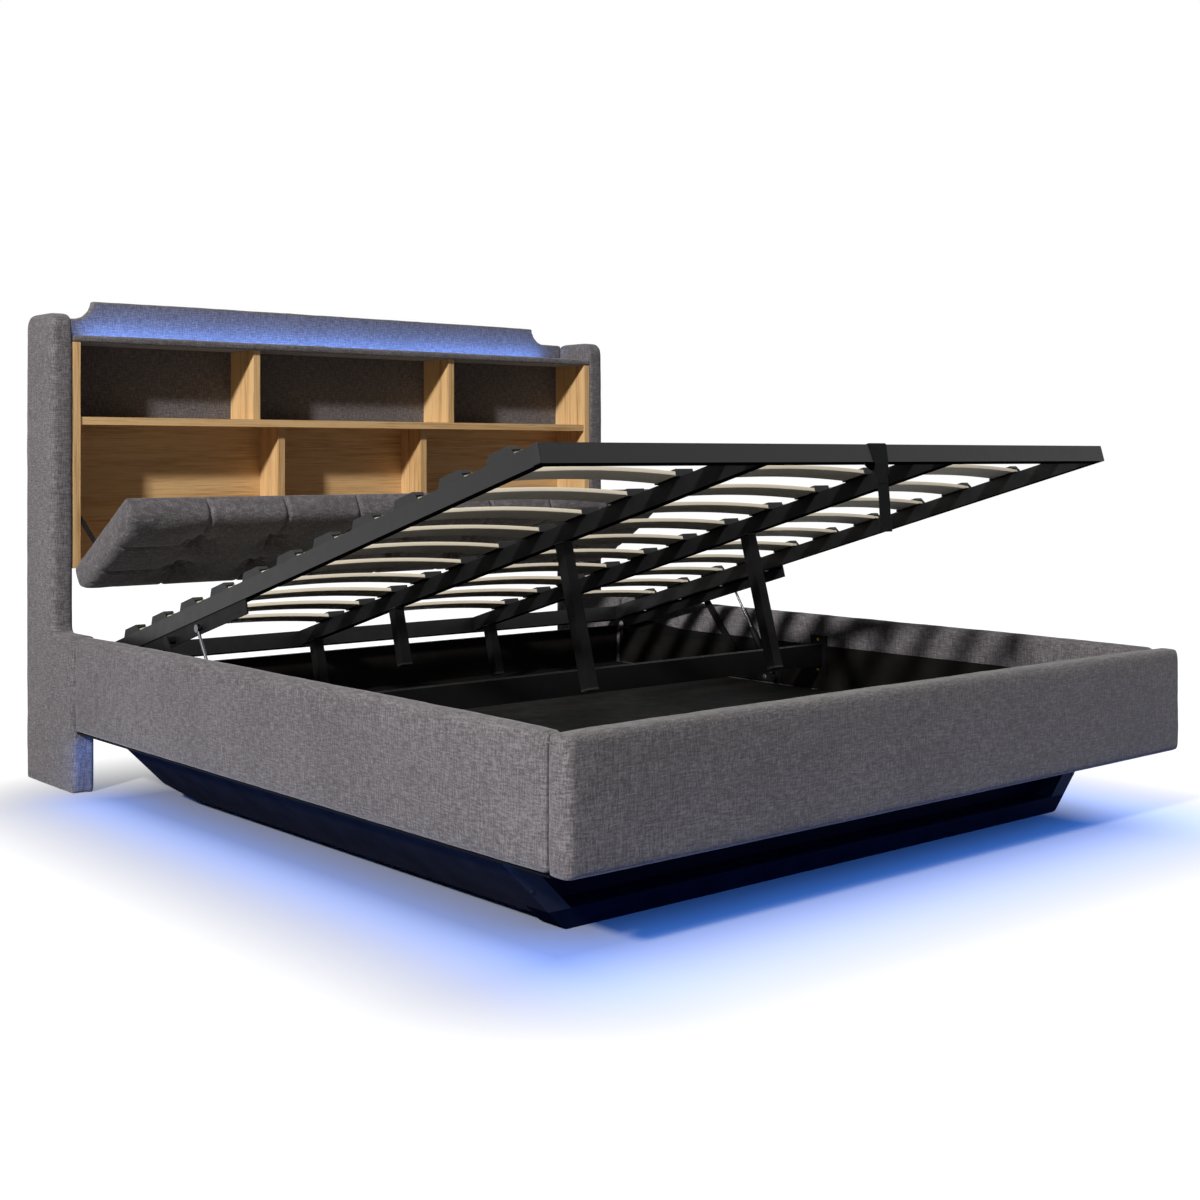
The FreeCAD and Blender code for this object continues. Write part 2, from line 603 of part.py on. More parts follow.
def make_upper_brackets():
    """Steel angles under the platform's outer rails, with the stud that the stay link turns on."""
    low = -cell.bracket_tall / 2
    for side, sign in SIDES.items():
        span = (-cell.bracket_reach, cell.lug_margin)
        upright = board(f"{side}_bracket_upright", mirrored(sign, *flange_span), span,
                        (low, cell.frame_rise), PLATFORM)
        seat = board(f"{side}_bracket_seat", mirrored(sign, frame_inner, flange_span[1]), span,
                     (cell.frame_rise - cell.lift_plate, cell.frame_rise), PLATFORM)
        collar = pin(f"{side}_link_collar", mirrored(sign, flange_span[1], link_span[0] - cell.run_gap),
                     -cell.link_reach, 0, cell.pivot_radius + cell.lift_plate, PLATFORM)
        stud = pin(f"{side}_link_stud", mirrored(sign, flange_span[1], link_span[1]), -cell.link_reach, 0,
                   cell.pivot_radius, PLATFORM)
        hole_x = mirrored(sign, frame_inner - cell.overrun, flange_span[1] + cell.overrun)
        hole = pin(f"{side}_pivot_hole", hole_x, 0, 0, cell.pivot_radius + cell.run_gap, PLATFORM)
        name = f"{side}_upper_bracket"
        blank = fuse(f"{side}_bracket_blank", [upright, seat, collar, stud])
        node(name, cut(name, blank, [hole]))


def make_stay_links():
    """Flat links from the platform to the slots, each with a pin at its lower end."""
    start = PLATFORM.point(-cell.link_reach, NOWHERE)
    end = link_pin_path(0)
    turn = math.degrees(math.atan2(end[1] - start[1].value, end[0] - start[0].value)) - 90
    axes = Turned(start[0], start[1], as_size(turn))
    for side, sign in SIDES.items():
        x = mirrored(sign, *link_span)
        bar = board(f"{side}_link_bar", x, (-cell.link_radius, cell.link_radius),
                    (NOWHERE, cell.link_length), axes)
        top = pin(f"{side}_link_top", x, 0, 0, cell.link_radius, axes)
        low = pin(f"{side}_link_low", x, 0, cell.link_length, cell.link_radius, axes)
        runner_end = lined - cell.run_gap
        runner = pin(f"{side}_link_runner", mirrored(sign, link_span[1], runner_end), 0, cell.link_length,
                     cell.link_pin_radius, axes)
        hole = pin(f"{side}_link_hole", (x[0] - cell.overrun, x[1] + cell.overrun), 0, 0,
                   cell.pivot_radius + cell.run_gap, axes)
        name = f"{side}_stay_link"
        node(name, cut(name, fuse(f"{side}_link_blank", [bar, top, low, runner]), [hole]))


def make_struts():
    """Gas struts: a cylinder that swings on the lower bracket, and a rod that slides in its bore."""
    low = (strut_y, cell.strut_rise)
    high = PLATFORM.point(-cell.strut_reach, NOWHERE)
    rise, run = (high[1] - low[1]).value, (high[0] - low[0]).value
    length = as_size(math.hypot(rise, run))
    axes = Turned(low[0], low[1], as_size(math.degrees(math.atan2(rise, run)) - 90))
    mouth = cell.strut_neck + cell.strut_body
    for side, sign in SIDES.items():
        x = strut_middle * sign
        eye_x = mirrored(sign, *eye_span)
        name = f"{side}_strut_cylinder"
        barrel = rod(f"{side}_barrel", x, 0, (cell.strut_neck, mouth), cell.strut_radius, axes)
        neck = rod(f"{side}_barrel_neck", x, 0, (NOWHERE, cell.strut_neck), cell.rod_radius, axes)
        eye = pin(f"{side}_barrel_eye", eye_x, 0, 0, cell.eye_radius, axes)
        bore = rod(f"{side}_bore", x, 0, (cell.strut_neck + cell.strut_end, mouth + cell.overrun),
                   cell.rod_radius + cell.run_gap, axes)
        hole = pin(f"{side}_barrel_hole", (eye_x[0] - cell.overrun, eye_x[1] + cell.overrun), 0, 0,
                   cell.rod_radius + cell.run_gap, axes)
        node(name, cut(name, fuse(f"{side}_barrel_blank", [barrel, neck, eye]), [bore, hole]))
        name = f"{side}_strut_rod"
        shaft = rod(f"{side}_shaft", x, 0, (mouth - cell.rod_overlap, length), cell.rod_radius, axes)
        head = pin(f"{side}_shaft_eye", eye_x, 0, length, cell.eye_radius, axes)
        stud_x = mirrored(sign, flange_span[1] + cell.run_gap, eye_span[0])
        stud = pin(f"{side}_shaft_stud", stud_x, 0, length, cell.rod_radius, axes)
        node(name, fuse(name, [shaft, head, stud]))


def make_platform():
    """Welded steel frame of the platform, with its legs."""
    low, high = cell.frame_rise, cell.frame_rise + cell.frame_tall
    foot_face = -platform_reach
    rail_run = (foot_face + cell.frame_wide, cell.head_overhang)
    for side, sign in SIDES.items():
        name = f"platform_{side}_rail"
        x = mirrored(sign, frame_inner, platform_half)
        node(name, tube(name, x, rail_run, (low, high), "y", PLATFORM))
    foot_run = (foot_face, foot_face + cell.frame_wide)
    name = "platform_foot_rail"
    node(name, tube(name, (-platform_half, platform_half), foot_run, (low, high), "x", PLATFORM))
    head_foot = cell.head_overhang - cell.mid_wide
    head_run = (head_foot, cell.head_overhang)
    head_height = (high - cell.head_tall, high)
    name = "platform_head_rail"
    node(name, tube(name, (-frame_inner, frame_inner), head_run, head_height, "x", PLATFORM))
    mid = (cell.mid_place - cell.mid_wide / 2, cell.mid_place + cell.mid_wide / 2)
    leg = (cell.mid_place - cell.leg_wide / 2, cell.mid_place + cell.leg_wide / 2)
    legs = []
    leg_foot = cell.floor_top - cell.pivot_rise + cell.run_gap
    post_foot = cell.post_foot_gap - cell.pivot_rise
    mid_run = (foot_face + cell.frame_wide, head_foot)
    for side, sign in SIDES.items():
        name = f"platform_mid_rail_{side}"
        node(name, tube(name, mirrored(sign, *mid), mid_run, (low, high), "y", PLATFORM))
        ends = {"near": (cell.near_leg_reach, leg_foot), "middle": (cell.middle_leg_reach, leg_foot),
                "post": (cell.post_reach, post_foot)}
        for label, (reach, end) in ends.items():
            run = (-reach - cell.leg_wide / 2, -reach + cell.leg_wide / 2)
            legs.append(tube(f"leg_{label}_{side}", mirrored(sign, *leg), run, (end, low), "z", PLATFORM))
    node("support_legs", group("support_legs", legs))


def bowed_slat(span, spare=0):
    """One slat across the bed, bowed up in the middle, or the pocket that takes it with room to spare."""
    start, end = span[0].value - spare, span[1].value + spare
    thick, wide = cell.slat_thick.value + 2 * spare, cell.slat_wide.value + 2 * spare
    front = -wide / 2
    under = [FreeCAD.Vector(start, front, -spare),
             FreeCAD.Vector((start + end) / 2, front, cell.slat_rise.value - spare),
             FreeCAD.Vector(end, front, -spare)]
    over = [point + FreeCAD.Vector(0, 0, thick) for point in under]
    low_edge = Part.Arc(*under).toShape()
    right_edge = Part.LineSegment(under[2], over[2]).toShape()
    high_edge = Part.Arc(over[2], over[1], over[0]).toShape()
    left_edge = Part.LineSegment(over[0], under[0]).toShape()
    profile = Part.Wire([low_edge, right_edge, high_edge, left_edge])
    return Part.Face(profile).extrude(Y_AXIS * wide)


def slat_middles():
    pitch = (platform_reach - cell.slat_first - cell.slat_last) / (SLAT_COUNT - 1)
    return [-(cell.slat_first + pitch * index) for index in range(SLAT_COUNT)]


def slat_spans():
    """Each column of slats reaches from rail to rail and rests on both."""
    far = platform_half - cell.cap_lap
    mid_far = cell.mid_place + cell.cap_lap / 2
    mid_near = cell.mid_place - cell.cap_lap / 2
    return {"left": (-far, -mid_far), "middle": (-mid_near, mid_near), "right": (mid_far, far)}


def repeated(shapes):
    """The shapes at every slat's place."""
    places = [FreeCAD.Vector(0, y.value, 0) for y in slat_middles()]
    return Part.makeCompound([shape.translated(place) for place in places for shape in shapes])


def make_slats():
    """Three columns of bowed slats, held in caps on the rails."""
    seat = cell.frame_rise + cell.frame_tall + cell.run_gap
    for label, span in slat_spans().items():
        name = f"slats_{label}"
        node(name, shaped(name, repeated([bowed_slat(span)]), z=seat, axes=PLATFORM))


def make_caps():
    """Lids over the slats' ends on the outer rails, open to the foot, and sleeves on the middle rails."""
    spans = slat_spans()
    gap = cell.run_gap.value
    lift = FreeCAD.Vector(0, 0, gap)
    right_pocket = bowed_slat(spans["right"], gap).translated(lift)
    middle_pocket = bowed_slat(spans["middle"], gap).translated(lift)
    low, high = (frame_inner - cell.cap_lap).value, (platform_half - cell.cap_lap / 2).value
    base, crest, top = cell.cap_long.value / 2, cell.cap_crest.value / 2, cell.cap_tall.value
    corners = [(-base, 0), (base, 0), (crest, top), (-crest, top), (-base, 0)]
    outline = Part.makePolygon([FreeCAD.Vector(low, y, z) for y, z in corners])
    open_side = ((cell.slat_wide - cell.cap_long) / 2 - cell.overrun).value
    mouth = right_pocket.translated(FreeCAD.Vector(0, open_side, 0))
    lid = Part.Face(outline).extrude(X_AXIS * (high - low)).cut([right_pocket, mouth])
    reach = (cell.mid_wide / 2 + cell.sleeve_reach).value
    wide = (cell.slat_wide + cell.sleeve_wall * 2).value
    corner = FreeCAD.Vector(cell.mid_place.value - reach, -wide / 2, 0)
    block = Part.makeBox(2 * reach, wide, cell.sleeve_tall.value, corner)
    sleeve = block.cut([right_pocket, middle_pocket])
    origin = FreeCAD.Vector()
    caps = [lid, sleeve, lid.mirror(origin, X_AXIS), sleeve.mirror(origin, X_AXIS)]
    rise = cell.frame_rise + cell.frame_tall
    node("slat_caps", shaped("slat_caps", repeated(caps), z=rise, axes=PLATFORM))


def make_strap():
    """Webbing looped round the foot rail, with a tail that hangs to be pulled."""
    x = (cell.strap_place - cell.strap_wide / 2, cell.strap_place + cell.strap_wide / 2)
    tail_x = (cell.strap_place - cell.tail_wide / 2, cell.strap_place + cell.tail_wide / 2)
    y = (-platform_reach - cell.soft_gap, -platform_reach + cell.frame_wide + cell.soft_gap)
    z = (cell.frame_rise - cell.soft_gap, cell.frame_rise + cell.frame_tall + cell.soft_gap)
    thick = cell.strap_thick
    loop = board("strap_loop", x, (y[0] - thick, y[1] + thick), (z[0] - thick, z[1] + thick), PLATFORM)
    space = board("strap_space", (x[0] - cell.overrun, x[1] + cell.overrun), y, z, PLATFORM)
    tail_y, tail_z = PLATFORM.point(y[0] - thick / 2, z[0] - thick)
    tail_run = (tail_y - thick / 2, tail_y + thick / 2)
    tail = board("strap_tail", tail_x, tail_run, (tail_z - cell.strap_tail, tail_z + thick))
    node("pull_strap", fuse("pull_strap", [cut("strap_band", loop, [space]), tail]))


def cushion_blank():
    """The cushion before tufting: flat behind, crowned in front and rounded at every outer edge."""
    thick, tall = cell.flap_cushion.value, cell.flap_length.value + cell.flap_margin.value
    crown, edge = cell.flap_crown.value, cell.flap_round.value
    side = thick - crown
    reach = flap_half.value
    start = FreeCAD.Vector(-reach, 0, 0)
    corners = [(0, 0), (-side, 0), (-side, tall), (0, tall)]
    points = [start + FreeCAD.Vector(0, y, z) for y, z in corners]
    front = start + FreeCAD.Vector(0, -thick, tall / 2)
    low_edge = Part.LineSegment(points[0], points[1]).toShape()
    front_edge = Part.Arc(points[1], front, points[2]).toShape()
    high_edge = Part.LineSegment(points[2], points[3]).toShape()
    back_edge = Part.LineSegment(points[3], points[0]).toShape()
    profile = Part.Wire([low_edge, front_edge, high_edge, back_edge])
    solid = Part.Face(profile).extrude(X_AXIS * reach * 2)
    rounded = [item for item in solid.Edges if not edge_at(item, "y", 0) and not edge_runs(item, "y")]
    return solid.makeFillet(edge, rounded)


def make_flap():
    """Backrest flap: a board on hinges, with a cushion tufted on a square grid."""
    front = cell.flap_front - cell.flap_back_gap - cell.flap_board
    height = (cell.flap_foot, cell.flap_foot + cell.flap_length)
    reach = flap_half - cell.flap_margin
    node("flap_board", board("flap_board", (-reach, reach), (front, front + cell.flap_board), height, FLAP))
    thick, tall = cell.flap_cushion.value, cell.flap_length.value + cell.flap_margin.value
    radius, depth = cell.channel_radius.value, cell.channel_depth.value
    pitch = 2 * (flap_half - cell.tuft_margin).value / (TUFT_COLUMNS - 1)
    columns = [pitch * (index - (TUFT_COLUMNS - 1) / 2) for index in range(TUFT_COLUMNS)]
    rows = [tall * (index + 1) / (TUFT_ROWS + 1) for index in range(TUFT_ROWS)]
    spare = cell.overrun.value
    channel_y = -thick - radius + depth
    far = reach.value + spare
    tools = [Part.makeCylinder(radius, tall + 2 * spare, FreeCAD.Vector(x, channel_y, -spare))
             for x in columns]
    tools += [Part.makeCylinder(radius, 2 * far, FreeCAD.Vector(-far, channel_y, z), X_AXIS) for z in rows]
    ball = cell.tuft_radius.value
    ball_y = -thick - ball + cell.tuft_depth.value
    tools += [Part.makeSphere(ball, FreeCAD.Vector(x, ball_y, z)) for x in columns for z in rows]
    shape = cushion_blank().cut(tools)
    low = cell.flap_foot - cell.flap_margin / 2
    node("flap_cushion", shaped("flap_cushion", shape, y=front - cell.soft_gap, z=low, axes=FLAP))


def make_flap_fittings():
    """Hinges under the bookcase, and the stays that hold the flap when it is down."""
    fixed = []
    moving = []
    leaf, radius, long = cell.hinge_leaf, cell.knuckle_radius, cell.knuckle_long
    near, far = long / 2 + cell.run_gap, long / 2 + long
    board_face = cell.flap_front - cell.flap_back_gap - cell.flap_board
    hinge_place = flap_half - cell.hinge_inset
    for label, middle in (("left", -hinge_place), ("middle", NOWHERE), ("right", hinge_place)):
        outer = (middle - far, middle + far)
        barrel = pin(f"{label}_hinge_barrel", outer, flap_y, flap_z, radius)
        gap_x = (middle - near, middle + near)
        gap = pin(f"{label}_hinge_gap", gap_x, flap_y, flap_z, radius + cell.overrun)
        knuckles = cut(f"{label}_hinge_knuckles", barrel, [gap])
        core = pin(f"{label}_hinge_pin", outer, flap_y, flap_z, radius / 2)
        plate_y = (flap_y + radius / 2, flap_y + cell.leaf_long)
        plate = board(f"{label}_hinge_plate", outer, plate_y, (cell.bookcase_base - leaf, cell.bookcase_base))
        web_y = (flap_y + radius / 2, flap_y + radius)
        webs = [board(f"{label}_hinge_web_{end}", span, web_y, (flap_z, cell.bookcase_base - leaf))
                for end, span in (("a", (outer[0], gap_x[0])), ("b", (gap_x[1], outer[1])))]
        fixed.append(fuse(f"{label}_hinge_fixed", [knuckles, core, plate] + webs))
        inside = (middle - long / 2, middle + long / 2)
        sleeve = pin(f"{label}_hinge_sleeve", inside, 0, 0, radius, FLAP)
        hole = pin(f"{label}_hinge_hole", (inside[0] - cell.overrun, inside[1] + cell.overrun), 0, 0,
                   radius / 2 + cell.run_gap, FLAP)
        web = board(f"{label}_hinge_arm", inside, (-radius, -radius / 2), (NOWHERE, cell.flap_foot), FLAP)
        tongue = board(f"{label}_hinge_tongue", inside, (board_face, -radius / 2),
                       (cell.flap_foot - leaf, cell.flap_foot), FLAP)
        blank = fuse(f"{label}_hinge_blank", [sleeve, web, tongue])
        moving.append(cut(f"{label}_hinge_moving", blank, [hole]))
    guide = (bay_half - cell.guide_plate, bay_half)
    arm = (guide[0] - cell.run_gap - cell.stay_plate, guide[0] - cell.run_gap)
    lug = (arm[0] - cell.run_gap - cell.stay_plate, arm[0] - cell.run_gap)
    lug_root = cell.flap_front - cell.flap_back_gap
    guide_y = wing_front + cell.guide_inset
    guide_low = cell.guide_rise - cell.stay_radius
    guide_height = (guide_low, guide_low + cell.guide_tall)
    stay_start = FLAP.point(cell.stay_back, cell.stay_reach)
    rise, run = cell.guide_rise.value - stay_start[1].value, guide_y.value - stay_start[0].value
    length = as_size(math.hypot(rise, run))
    axes = Turned(stay_start[0], stay_start[1], as_size(math.degrees(math.atan2(rise, run)) - 90))
    for side, sign in SIDES.items():
        fixed.append(board(f"{side}_stay_guide", mirrored(sign, *guide),
                           (guide_y - cell.stay_radius / 2, guide_y + cell.guide_long), guide_height))
        lug_x = mirrored(sign, *lug)
        stud_x = mirrored(sign, lug[0], arm[1])
        ear = pin(f"{side}_lug_ear", lug_x, cell.stay_back, cell.stay_reach, cell.stay_radius, FLAP)
        root = board(f"{side}_lug_root", lug_x, (lug_root, cell.stay_back),
                     (cell.stay_reach - cell.stay_radius, cell.stay_reach + cell.stay_radius), FLAP)
        stud = pin(f"{side}_lug_stud", stud_x, cell.stay_back, cell.stay_reach, cell.stay_pin_radius, FLAP)
        moving.append(fuse(f"{side}_stay_lug", [ear, root, stud]))
        x = mirrored(sign, *arm)
        bar = board(f"{side}_stay_bar", x, (-cell.stay_radius, cell.stay_radius), (NOWHERE, length), axes)
        ends = [pin(f"{side}_stay_{end}", x, 0, z, cell.stay_radius, axes)
                for end, z in (("low", NOWHERE), ("high", length))]
        rivet = pin(f"{side}_stay_rivet", stud_x, 0, length, cell.stay_pin_radius, axes)
        hole = pin(f"{side}_stay_hole", (x[0] - cell.overrun, x[1] + cell.overrun), 0, 0,
                   cell.stay_pin_radius + cell.run_gap, axes)
        name = f"{side}_flap_stay"
        node(name, cut(name, fuse(f"{side}_stay_blank", [bar, rivet] + ends), [hole]))
    node("flap_pivots", group("flap_pivots", fixed))
    node("flap_fittings", group("flap_fittings", moving))


make_wings()
make_backboard()
make_bookcase()
make_rails()
make_box()
make_crossbeam()
make_base()
make_lower_brackets()
make_upper_brackets()
make_stay_links()
make_struts()
make_platform()
make_slats()
make_caps()
make_strap()
make_flap()
make_flap_fittings()
doc.recompute()

failed = [item.Label for item in doc.Objects if "Invalid" in item.State or "Error" in item.State]
failed += [label for label, item in nodes.items() if item.Shape.isNull() or not item.Shape.isValid()]
if failed:
    raise RuntimeError(f"not built: {failed}")

os.makedirs("parts", exist_ok=True)
for label, item in nodes.items():
    item.Shape.exportStep(f"parts/{label}.step")
print(f"{len(nodes)} nodes written")
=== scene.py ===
import math
from functools import partial

import bmesh
import bpy
import numpy as np
from bpy.props import FloatProperty, FloatVectorProperty, IntProperty, PointerProperty
from mathutils import Matrix, Vector, noise


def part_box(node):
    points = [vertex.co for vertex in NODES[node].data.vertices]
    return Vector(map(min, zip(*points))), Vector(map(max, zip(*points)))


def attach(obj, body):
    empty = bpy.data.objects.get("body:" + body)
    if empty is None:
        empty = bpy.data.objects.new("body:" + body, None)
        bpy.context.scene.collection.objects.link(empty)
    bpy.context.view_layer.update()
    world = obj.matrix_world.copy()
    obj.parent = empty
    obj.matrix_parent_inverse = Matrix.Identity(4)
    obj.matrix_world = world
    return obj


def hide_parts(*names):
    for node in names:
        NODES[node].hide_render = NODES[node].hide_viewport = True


bl_info = {
    "name": "Lift-up storage bed",
    "version": (1, 0, 0),
    "blender": (4, 5, 0),
    "location": "3D View > Sidebar > Bed",
    "description": "Dresses a lift-up storage bed in upholstery, oak, steel and light",
    "category": "Object",
}

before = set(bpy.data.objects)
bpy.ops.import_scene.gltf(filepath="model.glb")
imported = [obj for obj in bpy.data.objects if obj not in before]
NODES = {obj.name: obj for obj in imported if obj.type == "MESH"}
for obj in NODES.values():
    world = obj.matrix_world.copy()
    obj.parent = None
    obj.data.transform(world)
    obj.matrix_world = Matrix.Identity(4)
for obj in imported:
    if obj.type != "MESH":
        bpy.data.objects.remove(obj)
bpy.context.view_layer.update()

# Axes that the raised platform and the folded flap turn on, in metres and degrees
LIFT_PIVOT, LIFT_ANGLE = Vector((0, 0.835, 0.341)), -16.1
FLAP_PIVOT, FLAP_ANGLE = Vector((0, 1.031, 0.600)), 58.0
ON_PLATFORM = Matrix.Translation(LIFT_PIVOT) @ Matrix.Rotation(math.radians(LIFT_ANGLE), 4, "X")
ON_FLAP = Matrix.Translation(FLAP_PIVOT) @ Matrix.Rotation(math.radians(FLAP_ANGLE), 4, "X")

# In the platform's axes: the frame's inner faces and height, its middle rails with their legs, and the slats
FRAME_FOOT, FRAME_LOW, FRAME_HIGH, FRAME_INSIDE = -1.947, 0.023, 0.064, 0.915
MID_PLACE, LEG_HALF, LEG_REACHES, POST_REACH = 0.320, 0.015, (0.060, 0.500), 1.255
SLAT_COLUMNS = {"left": (-0.934, -0.323), "middle": (-0.317, 0.317), "right": (0.323, 0.934)}

# In the flap's axes: where its front starts and ends, half its width, and its tufts
FLAP_START, FLAP_END, FLAP_HALF = 0.012, 0.398, 0.946
TUFT_COLUMNS = [0.240 * number for number in range(-3, 4)]
TUFT_ROWS = [0.006 + 0.398 / 3, 0.006 + 0.398 * 2 / 3]

# Upholstered boards: node, where wadding lifts the cover, how full they are, and how soft their edges are
PANELS = {
    "left_wing_cover": ("left_wing", [(-1, 0, 0), (0, -1, 0)], 0.9, 9),
    "right_wing_cover": ("right_wing", [(1, 0, 0), (0, -1, 0)], 0.9, 9),
    "left_rail_cover": ("left_rail", [(-1, 0, 0), (0, 0, 1)], 0.9, 9),
    "right_rail_cover": ("right_rail", [(1, 0, 0), (0, 0, 1)], 0.9, 9),
    "footboard_cover": ("footboard", [(-1, 0, 0), (1, 0, 0), (0, -1, 0), (0, 0, 1)], 0.9, 9),
    "backboard_cover": ("backboard", [(0, 0, 1)], 1.0, 3),
    "ledge_cover": ("top_ledge", [(0, 0, 1)], 1.0, 3),
}
OAK_FLAT = ["middle_shelf", "bookcase_bottom", "lower_back_panel"]
OAK_UPRIGHT = ["bookcase_left_side", "bookcase_right_side", "upper_dividers", "lower_dividers"]
BOX_BOARDS = ["box_linings", "head_board", "storage_floor_head", "storage_floor_foot", "floor_cleats"]
BASE_BOARDS_PAINTED_BLUE_SHADE = ["foot_sled_bar", "kick_panel"]
BASE_SIDES_PAINTED_LIT = ["foot_sled_legs", "left_skirt", "right_skirt"]
FRAME_STEEL = ["platform_left_rail", "platform_right_rail", "platform_foot_rail", "platform_head_rail"]
PAIRED_STEEL = ["lower_bracket", "upper_bracket", "stay_link", "strut_cylinder", "flap_stay"]
FITTED_STEEL = [f"{side}_{name}" for name in PAIRED_STEEL for side in ("left", "right")] + [
    "crossbeam", "crossbeam_brackets", "platform_mid_rail_left", "platform_mid_rail_right", "support_legs",
    "flap_fittings", "flap_pivots",
]


def linear(code):
    """The linear colour of an sRGB hex value."""
    parts = [int(code[i:i + 2], 16) / 255 for i in (1, 3, 5)]
    return tuple(c / 12.92 if c <= 0.04045 else ((c + 0.055) / 1.055) ** 2.4 for c in parts) + (1.0,)


def tint(label, words, code):
    return FloatVectorProperty(name=label, description=words, subtype="COLOR", size=4, min=0, max=1,
                               default=linear(code))


def length(label, words, metres):
    return FloatProperty(name=label, description=words, default=metres, unit="LENGTH", precision=4, min=0)


class UpholsterySettings(bpy.types.PropertyGroup):
    yarn_dark: tint("Dark yarn", "Darkest yarn of the woven cover", "#4a474a")
    yarn_mid: tint("Middle yarn", "Main tone of the woven cover", "#5f5c5f")
    yarn_pale: tint("Pale yarn", "Palest slubs of the woven cover", "#797679")
    voxel: length("Cover mesh", "Mesh size of the upholstered boards", 0.006)
    join_depth: length("Join depth", "How deep the covers are drawn in where two of them meet", 0.006)
    join_reach: length("Join reach", "How far from a join its groove reaches", 0.009)
    join_gap: length("Join gap", "How far each cover stands back from a join", 0.003)
    swell: length("Swell", "How far wadding lifts the middle of a board's cover", 0.0035)
    ripple: length("Ripple", "Unevenness of a stretched cover", 0.0009)
    cushion_voxel: length("Cushion mesh", "Mesh size of the simulated flap cushion", 0.0095)
    cushion_reach: length("Cushion reach", "How far the simulation may move the cushion's cover", 0.022)
    button_radius: length("Button radius", "Radius of the covered tuft buttons", 0.0080)
    seam_radius: length("Seam radius", "Radius of the sewn seams on the cushion", 0.0011)
    seam_depth: length("Seam depth", "How deep the border seams of the cushion draw in", 0.008)
    tuft_depth: length("Tuft depth", "How deep the tufts of the cushion draw in", 0.034)
    fold_depth: length("Fold depth", "Height of the folds around a tuft", 0.008)


class TimberSettings(bpy.types.PropertyGroup):
    oak_dark: tint("Oak pores", "Dark grain of the oak boards", "#9c7546")
    oak_pale: tint("Oak", "Pale wood of the oak boards", "#cfac7c")
    slat_pale: tint("Slat face", "Birch face of the sprung slats", "#efe8d6")
    slat_glue: tint("Slat glue line", "Glue lines on a slat's edge", "#b9a888")
    slat_count: IntProperty(name="Slats", description="Slats in a column", default=11, min=1)
    slat_width: length("Slat width", "Width of a sprung slat", 0.070)
    slat_thick: length("Slat thickness", "Thickness of a sprung slat", 0.010)
    slat_bow: length("Slat bow", "Rise of a sprung slat's middle", 0.016)


class MetalSettings(bpy.types.PropertyGroup):
    coat: tint("Powder coat", "Satin black coat of the steelwork", "#101011")
    plastic: tint("Moulded plastic", "Black of the slat caps and plugs", "#171718")
    board: tint("Box boards", "Black of the storage box", "#181716")
    # Painted light: one black wrap is given twice, as a blue-black shaded copy whose blue stands for the LED
    # light under the bed, and a lighter lit copy for the skirts and legs
    base: tint("Base wrap", "Blue-black wrap of the recessed base", "#070a15")
    base_side_painted_lit: tint("Base side wrap", "Black wrap of the base's skirts and legs", "#1e1e23")
    webbing: tint("Webbing", "Black of the pull strap", "#0e0f10")
    bolt_radius: length("Bolt head", "Radius of the bracket bolts' heads", 0.0065)


class LightSettings(bpy.types.PropertyGroup):
    led: tint("LED", "Blue of the LED strips under the rails", "#4a8cff")
    ledge_led: tint("Ledge LED", "Paler blue of the LED strip behind the ledge", "#6c9dff")
    floor: tint("Floor", "Studio floor", "#8a8a8b")


def settings_of(context):
    scene = context.scene
    return scene.bed_upholstery, scene.bed_timber, scene.bed_metal, scene.bed_light


# Materials

def feed(tree, node, inputs):
    """Sets inputs of a node, to values or to outputs of other nodes."""
    for key, value in inputs.items():
        if isinstance(value, bpy.types.NodeSocket):
            tree.links.new(value, node.inputs[key])
        else:
            node.inputs[key].default_value = value


def add(tree, kind, inputs=None, out=0, **settings):
    """Adds a node with its settings and inputs, and returns one of its outputs, or the node itself."""
    made = tree.nodes.new(kind)
    for number, (place, colour) in enumerate(settings.pop("stops", ())):
        marks = made.color_ramp.elements
        mark = marks[number] if number < len(marks) else marks.new(place)
        mark.position, mark.color = place, colour
    for key, value in settings.items():
        setattr(made, key, value)
    feed(tree, made, inputs or {})
    return made if out is None else made.outputs[out]


def finish_named(name, constants):
    """A new material, with the functions that add its nodes and that feed its surface shader."""
    material = bpy.data.materials.new(name)
    material.use_nodes = True
    tree = material.node_tree
    surface = partial(feed, tree, tree.nodes["Principled BSDF"])
    surface(constants)
    return material, partial(add, tree), surface


def shaded(colour, factor):
    return tuple(min(1, c * factor) for c in colour[:3]) + (1,)


